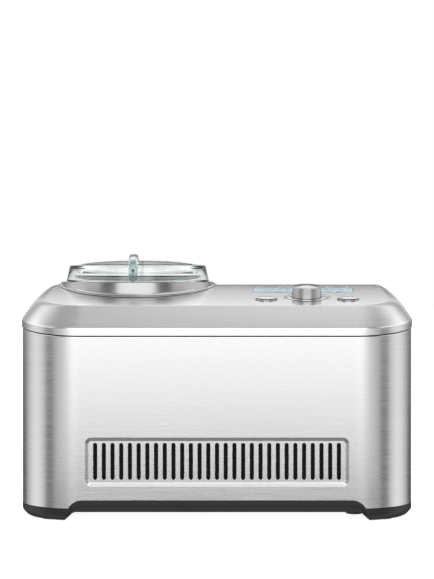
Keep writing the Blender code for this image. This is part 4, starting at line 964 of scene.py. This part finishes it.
def make_bowl(metal):
    """The bowl: rolled flange, thin wall, round corner and the tower round the drive shaft."""
    low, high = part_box("removable_bowl")
    flange, wall, bottom, top = (high.x - low.x) / 2, BOWL_WALL, low.z, high.z
    outer, inset = flange - BOWL_FLANGE, BOWL_INNER_CORNER + wall
    corner = arc(outer - BOWL_CORNER, bottom + BOWL_CORNER, BOWL_CORNER, 0, -90, 8)
    inner_corner = arc(outer - inset, bottom + inset, BOWL_INNER_CORNER, -90, 0, 8)
    profile = [(flange, top - 0.0004), (flange, top - wall + 0.0002),
               (flange - 0.0003, top - wall), (outer, top - wall), *corner,
               (TOWER_BORE, bottom), (TOWER_BORE, TOWER_TOP), (TOWER_RADIUS, TOWER_TOP),
               (TOWER_RADIUS, bottom + wall), *inner_corner, (outer - wall, top - 0.001),
               (outer - wall + 0.001, top), (flange - 0.0004, top)]
    bowl = turned("bowl_shell", profile, (WELL_X, 0), ring=True)
    smooth(bowl, 35.0)
    dress(bowl, "bowl", "aluminium", metal, nodes=["removable_bowl"])


def soften_node(name, material):
    """A carried-over solid: welded, softly shaded with crisp edges, and its own material."""
    node = NODES[name]
    node.data.materials.clear()
    node.data.materials.append(material)
    for polygon in node.data.polygons:
        polygon.use_smooth = True
    modify(node, "WELD", "weld", merge_threshold=0.00001)
    modify(node, "EDGE_SPLIT", "crisp_edges", split_angle=math.radians(35.0), use_edge_sharp=False)


def power_socket(metal):
    """Contact pins in the appliance inlet."""
    low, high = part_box("power_inlet")
    middle = (low + high) / 2
    for i, (shift_x, shift_z) in enumerate(PIN_PLACES):
        pin = extruded(f"inlet_pin_{i + 1}", rounded(0.0011, 0.002, 0.0006, 4), "Y",
                       high.y - PIN_NEAR, high.y - PIN_FAR)
        pin.location = (middle.x + shift_x, 0, middle.z + shift_z)
        bake(round_edges(pin, 0.0003))
        smooth(pin, 40.0)
        dress(pin, "root", "machined_steel", metal)


# ---- World, floor, lights and camera ----
def make_world():
    """White to the eye, and a plain studio of panels and gaps in what the metal reflects."""
    world = bpy.data.worlds.new("studio")
    world.use_nodes = True
    bpy.context.scene.world = world
    tree = world.node_tree
    nodes, wires = tree.nodes, tree.links
    background = nodes["Background"]

    def math_node(operation, *values, clamp=False):
        node = nodes.new("ShaderNodeMath")
        node.operation = operation
        node.use_clamp = clamp
        for socket, value in zip(node.inputs, values):
            if isinstance(value, (int, float)):
                socket.default_value = value
            else:
                wires.new(value, socket)
        return node.outputs[0]

    def ramp(source, stops):
        node = nodes.new("ShaderNodeValToRGB")
        node.color_ramp.interpolation = "EASE"
        elements = node.color_ramp.elements
        while len(elements) < len(stops):
            elements.new(0.5)
        for element, (position, value) in zip(elements, stops):
            element.position = position
            element.color = (value, value, value, 1.0)
        wires.new(source, node.inputs["Fac"])
        return node.outputs["Color"]

    place = nodes.new("ShaderNodeTexCoord")
    parts = nodes.new("ShaderNodeSeparateXYZ")
    wires.new(place.outputs["Generated"], parts.inputs[0])
    east, up = parts.outputs["X"], parts.outputs["Z"]
    to_front = math_node("MULTIPLY", parts.outputs["Y"], -1.0)
    turn = math_node("ABSOLUTE", math_node("ARCTAN2", east, to_front))
    turn = math_node("DIVIDE", turn, math.pi)
    level = math_node("MAXIMUM", up, 0.0)

    def blend(first, second, share):
        node = nodes.new("ShaderNodeMix")
        node.data_type = "RGBA"
        wires.new(share, node.inputs["Factor"])
        wires.new(first, node.inputs[6])
        if isinstance(second, float):
            node.inputs[7].default_value = (second, second, second, 1.0)
        else:
            wires.new(second, node.inputs[7])
        return node.outputs[2]

    def step(source, start, end):
        above = math_node("SUBTRACT", source, start)
        return math_node("MULTIPLY", above, 1.0 / (end - start), clamp=True)

    room = blend(ramp(turn, LOW_PANELS), ramp(turn, RAISED_PANELS), step(level, *RAISED_FROM))
    room = blend(room, ramp(level, BACK_PANELS), step(turn, *BACK_FROM))
    gap = math_node("MULTIPLY", step(level, *GAP_FROM), step(turn, *GAP_TURN))
    room = blend(room, GAP_ABOVE, gap)
    overhead = ramp(step(east, *TOP_SPREAD), TOP_PANELS)
    room = blend(room, overhead, step(level, *TOP_FROM))
    room = blend(room, ramp(turn, LOWER_PANELS), step(up, *LOWER_FROM))
    path = nodes.new("ShaderNodeLightPath")
    behind = step(parts.outputs["Y"], *BEHIND_FROM)
    seen_through = math_node("MULTIPLY", behind, path.outputs["Is Transmission Ray"])
    plain = math_node("MAXIMUM", path.outputs["Is Camera Ray"], seen_through)
    wires.new(blend(room, 1.0 / STUDIO, plain), background.inputs["Color"])
    background.inputs["Strength"].default_value = STUDIO


STUDIO = 1.98
# Brightness round the studio: (share of a half turn from the front, value), near the horizon,
# below it and higher up
LOW_PANELS = ((0.0, 1.0), (0.1, 1.0), (0.16, 0.72), (0.22, 0.47), (0.28, 0.3), (0.33, 0.11),
              (0.38, 0.11), (0.45, 0.3), (0.53, 0.38), (0.6, 0.33), (0.68, 0.22), (0.78, 0.15),
              (0.9, 0.15), (0.97, 0.42))
LOWER_PANELS = ((0.0, 0.24), (0.15, 0.25), (0.22, 0.33), (0.28, 0.29), (0.33, 0.04),
                (0.38, 0.04), (0.45, 0.38), (0.53, 0.5), (0.6, 0.44), (0.68, 0.27),
                (0.78, 0.02), (0.87, 0.06), (0.95, 0.5), (1.0, 0.55))
RAISED_PANELS = ((0.0, 1.0), (0.145, 1.0), (0.18, 0.09), (0.26, 0.07), (0.34, 0.58),
                 (0.62, 0.66), (0.8, 0.2), (0.9, 0.4), (1.0, 0.4))
# and behind the object: (sine of the height angle, value)
BACK_PANELS = ((0.0, 0.5), (0.06, 0.45), (0.13, 0.0), (0.34, 0.0), (0.48, 0.82), (0.6, 0.8),
               (0.8, 0.42), (1.0, 0.4))
TOP_PANELS = ((0.0, 0.24), (1.0, 0.45))  # overhead, from the left to the right
GAP_ABOVE = 0.2  # between the front panel and the one overhead
# Where one panel gives way to the next: by the sine of the height angle, by the turn from the
# front, or by the direction to the right or to the back
RAISED_FROM, GAP_FROM, TOP_FROM, LOWER_FROM = (0.07, 0.15), (0.58, 0.66), (0.84, 0.94), (0.0, -0.12)
BACK_FROM, GAP_TURN = (0.91, 0.965), (0.7, 0.45)
TOP_SPREAD, BEHIND_FROM = (-0.17, 0.05), (0.45, 0.85)


def plane(name, half_x, near, far, height, material):
    bm = bmesh.new()
    corners = ((-half_x, near), (half_x, near), (half_x, far), (-half_x, far))
    bm.faces.new([bm.verts.new((x, y, height)) for x, y in corners])
    obj = as_object(bm, name, normals=False)
    obj.data.materials.append(material)
    return obj


def make_floor():
    """A white lit floor, and a grey card in front that only the metal's reflections see."""
    glow = {"Emission_Color": (1.0, 1.0, 1.0, 1.0)}
    white = Shader("floor_white", (0.92, 0.92, 0.92), 0.75, Emission_Strength=0.93, **glow)
    white.tint(white.noise(1.5), (0.91, 0.91, 0.91), (0.93, 0.93, 0.93))
    floor = plane("floor", 9.0, -9.0, 9.0, 0.0, white.material)
    floor.visible_glossy = floor.visible_diffuse = False
    grey = Shader("card_grey", (0.0, 0.0, 0.0), 1.0, Emission_Strength=0.12, **glow)
    card = plane("reflection_card", 0.3, -1.3, -0.19, -0.001, grey.material)
    card.visible_camera = card.visible_diffuse = False
    card.visible_transmission = card.visible_shadow = False


CAMERA_LENS, CAMERA_PITCH = 109.3, 0.704
CAMERA_PLACE = (0.0, -(0.1415 + 1.72), 0.25)  # 1.72 m in front of the cabinet
SOFT_POWER, SOFT_ANGLE = 1.2, 120.0


def make_camera():
    data = bpy.data.cameras.new("camera")
    data.lens = CAMERA_LENS
    data.sensor_width = 36.0
    camera = link(bpy.data.objects.new("camera", data))
    camera.location = CAMERA_PLACE
    camera.rotation_euler = (math.radians(90.0 - CAMERA_PITCH), 0, 0)
    bpy.context.scene.camera = camera


def make_soft_light():
    """A very wide soft light from above, which the metal's reflections don't see."""
    sun = bpy.data.lights.new("soft_overhead", "SUN")
    sun.energy, sun.angle = SOFT_POWER, math.radians(SOFT_ANGLE)
    lamp = link(bpy.data.objects.new("soft_overhead", sun))
    lamp.visible_glossy = False


# ---- Everything put together ----
STEEL_GREY = (0.8, 0.8, 0.8)
# Which way a brushed surface's streaks run: drawn out along X and Y, along X, or all ways alike
LEVEL, SIDEWAYS, EVEN = (False, False, True), (False, True, True), (True, True, True)
sleeve_steel = brushed("sleeve_steel", LEVEL, STEEL_GREY, 0.265, 0.5, "level", bump=0.03)
deck_steel = brushed("deck_steel", SIDEWAYS, STEEL_GREY, 0.25, 0.4, "Y")
inside_steel = brushed("sheet_inside", EVEN, (0.3, 0.3, 0.31), 0.5, 0.0, "")
chrome = polished("polished_ring", (0.42, 0.42, 0.425), 0.21)
key_chrome = polished("key_chrome", (0.42, 0.42, 0.44), 0.05)
knob_side = brushed("knob_side", LEVEL, (0.56, 0.56, 0.57), 0.34, 0.85, contrast=0.015, bump=0.01)
knob_top = brushed("knob_top", EVEN, (0.52, 0.52, 0.53), 0.2, 0.8, contrast=0.02, bump=0.01)
trim_metal = brushed("knob_trim_metal", EVEN, (0.7, 0.7, 0.7), 0.25, 0.0, "")
clear = clear_plastic("clear_lid", (0.922, 0.952, 0.94))
# The grip's clear plastic is tinted darker than the lid's: partly the real tint of the thicker
# plastic, partly painted shade for the dark edges seen in the grip.
shaded_grip_clear = clear_plastic("clear_grip_painted_shade", (0.57, 0.66, 0.66))
black = moulded("black_plastic", (0.013, 0.013, 0.014), 0.42)
white = moulded("white_nylon", (0.82, 0.81, 0.77), 0.42)
# Near-black sheet behind the vent slots: painted shade for the dark inside of the cabinet.
slot_shade = moulded("painted_slot_shade", (0.0012, 0.0012, 0.0012), 0.95, grain=1500.0, depth=0.0002)
rubber = moulded("pad_rubber", (0.018, 0.018, 0.018), 0.8, grain=900.0)
enamel = moulded("black_enamel", (0.015, 0.015, 0.016), 0.28, grain=500.0)
foam = moulded("foam_skin", (0.8, 0.75, 0.58), 0.85, grain=400.0, depth=0.0003)
board = moulded("solder_mask", (0.02, 0.14, 0.05), 0.35, grain=600.0)
spun = brushed("spun_aluminium", LEVEL, (0.78, 0.79, 0.8), 0.32, 0.5)
machined = brushed("machined_steel", EVEN, (0.55, 0.55, 0.56), 0.3, 0.0, "")
copper = polished("copper_tube", (0.72, 0.38, 0.22), 0.28)
smoked = clear_plastic("smoked_pin", (0.1, 0.14, 0.14))
ink = moulded("dark_ink", (0.1, 0.1, 0.11), 0.55)
glass = clear_plastic("window_clear", (0.96, 0.98, 1.0))
panel_blue = moulded("display_blue", (0.5, 0.7, 0.79), 0.35, grain=1200.0,
                     Emission_Color=(0.47, 0.66, 0.74, 1.0), Emission_Strength=0.95)
display_ink = moulded("display_ink", (0.12, 0.2, 0.26), 0.5)

make_world()
make_floor()
make_camera()
make_soft_light()

make_cover(sleeve_steel, deck_steel, inside_steel)
make_sleeve(sleeve_steel, inside_steel)
make_vent(sleeve_steel, inside_steel, slot_shade)
make_base(black)
make_collar(chrome, deck_steel)
make_lid(clear)
make_liner(clear)
make_grip(shaded_grip_clear, smoked)
make_knob(knob_side, knob_top, trim_metal)
make_keys(key_chrome)
make_marks(ink)
make_display(glass, panel_blue, display_ink)
make_bowl(spun)
power_socket(machined)

CARRIED = {
    chrome: ["bowl_bail"], white: ["paddle", "drive_gear", "motor_pinion", "shaft_bush"],
    spun: ["evaporator_can", "paddle_motor", "condenser", "knob_shaft"],
    copper: ["evaporator_coil", "suction_tube", "discharge_tube", "liquid_tube_warm",
             "liquid_tube_cold", "filter_drier"],
    foam: ["insulation_ring"],
    black: ["gearbox_base", "gearbox_cover", "fan_frame", "fan_rotor", "power_inlet",
            "inlet_surround"],
    machined: ["drive_shaft", "motor_shaft", *(f"base_screw_{i}" for i in range(1, 5))],
    enamel: ["compressor", "knob_encoder"], board: ["control_board", "display_module"],
    rubber: ["shaft_seal", *(f"compressor_grommet_{i}" for i in range(1, 5)),
             *(f"foot_pad_{a}_{b}" for a in ("front", "rear") for b in ("left", "right"))],
}
for material, names in CARRIED.items():
    for name in names:
        soften_node(name, material)

bpy.context.scene.view_settings.view_transform = "Standard"
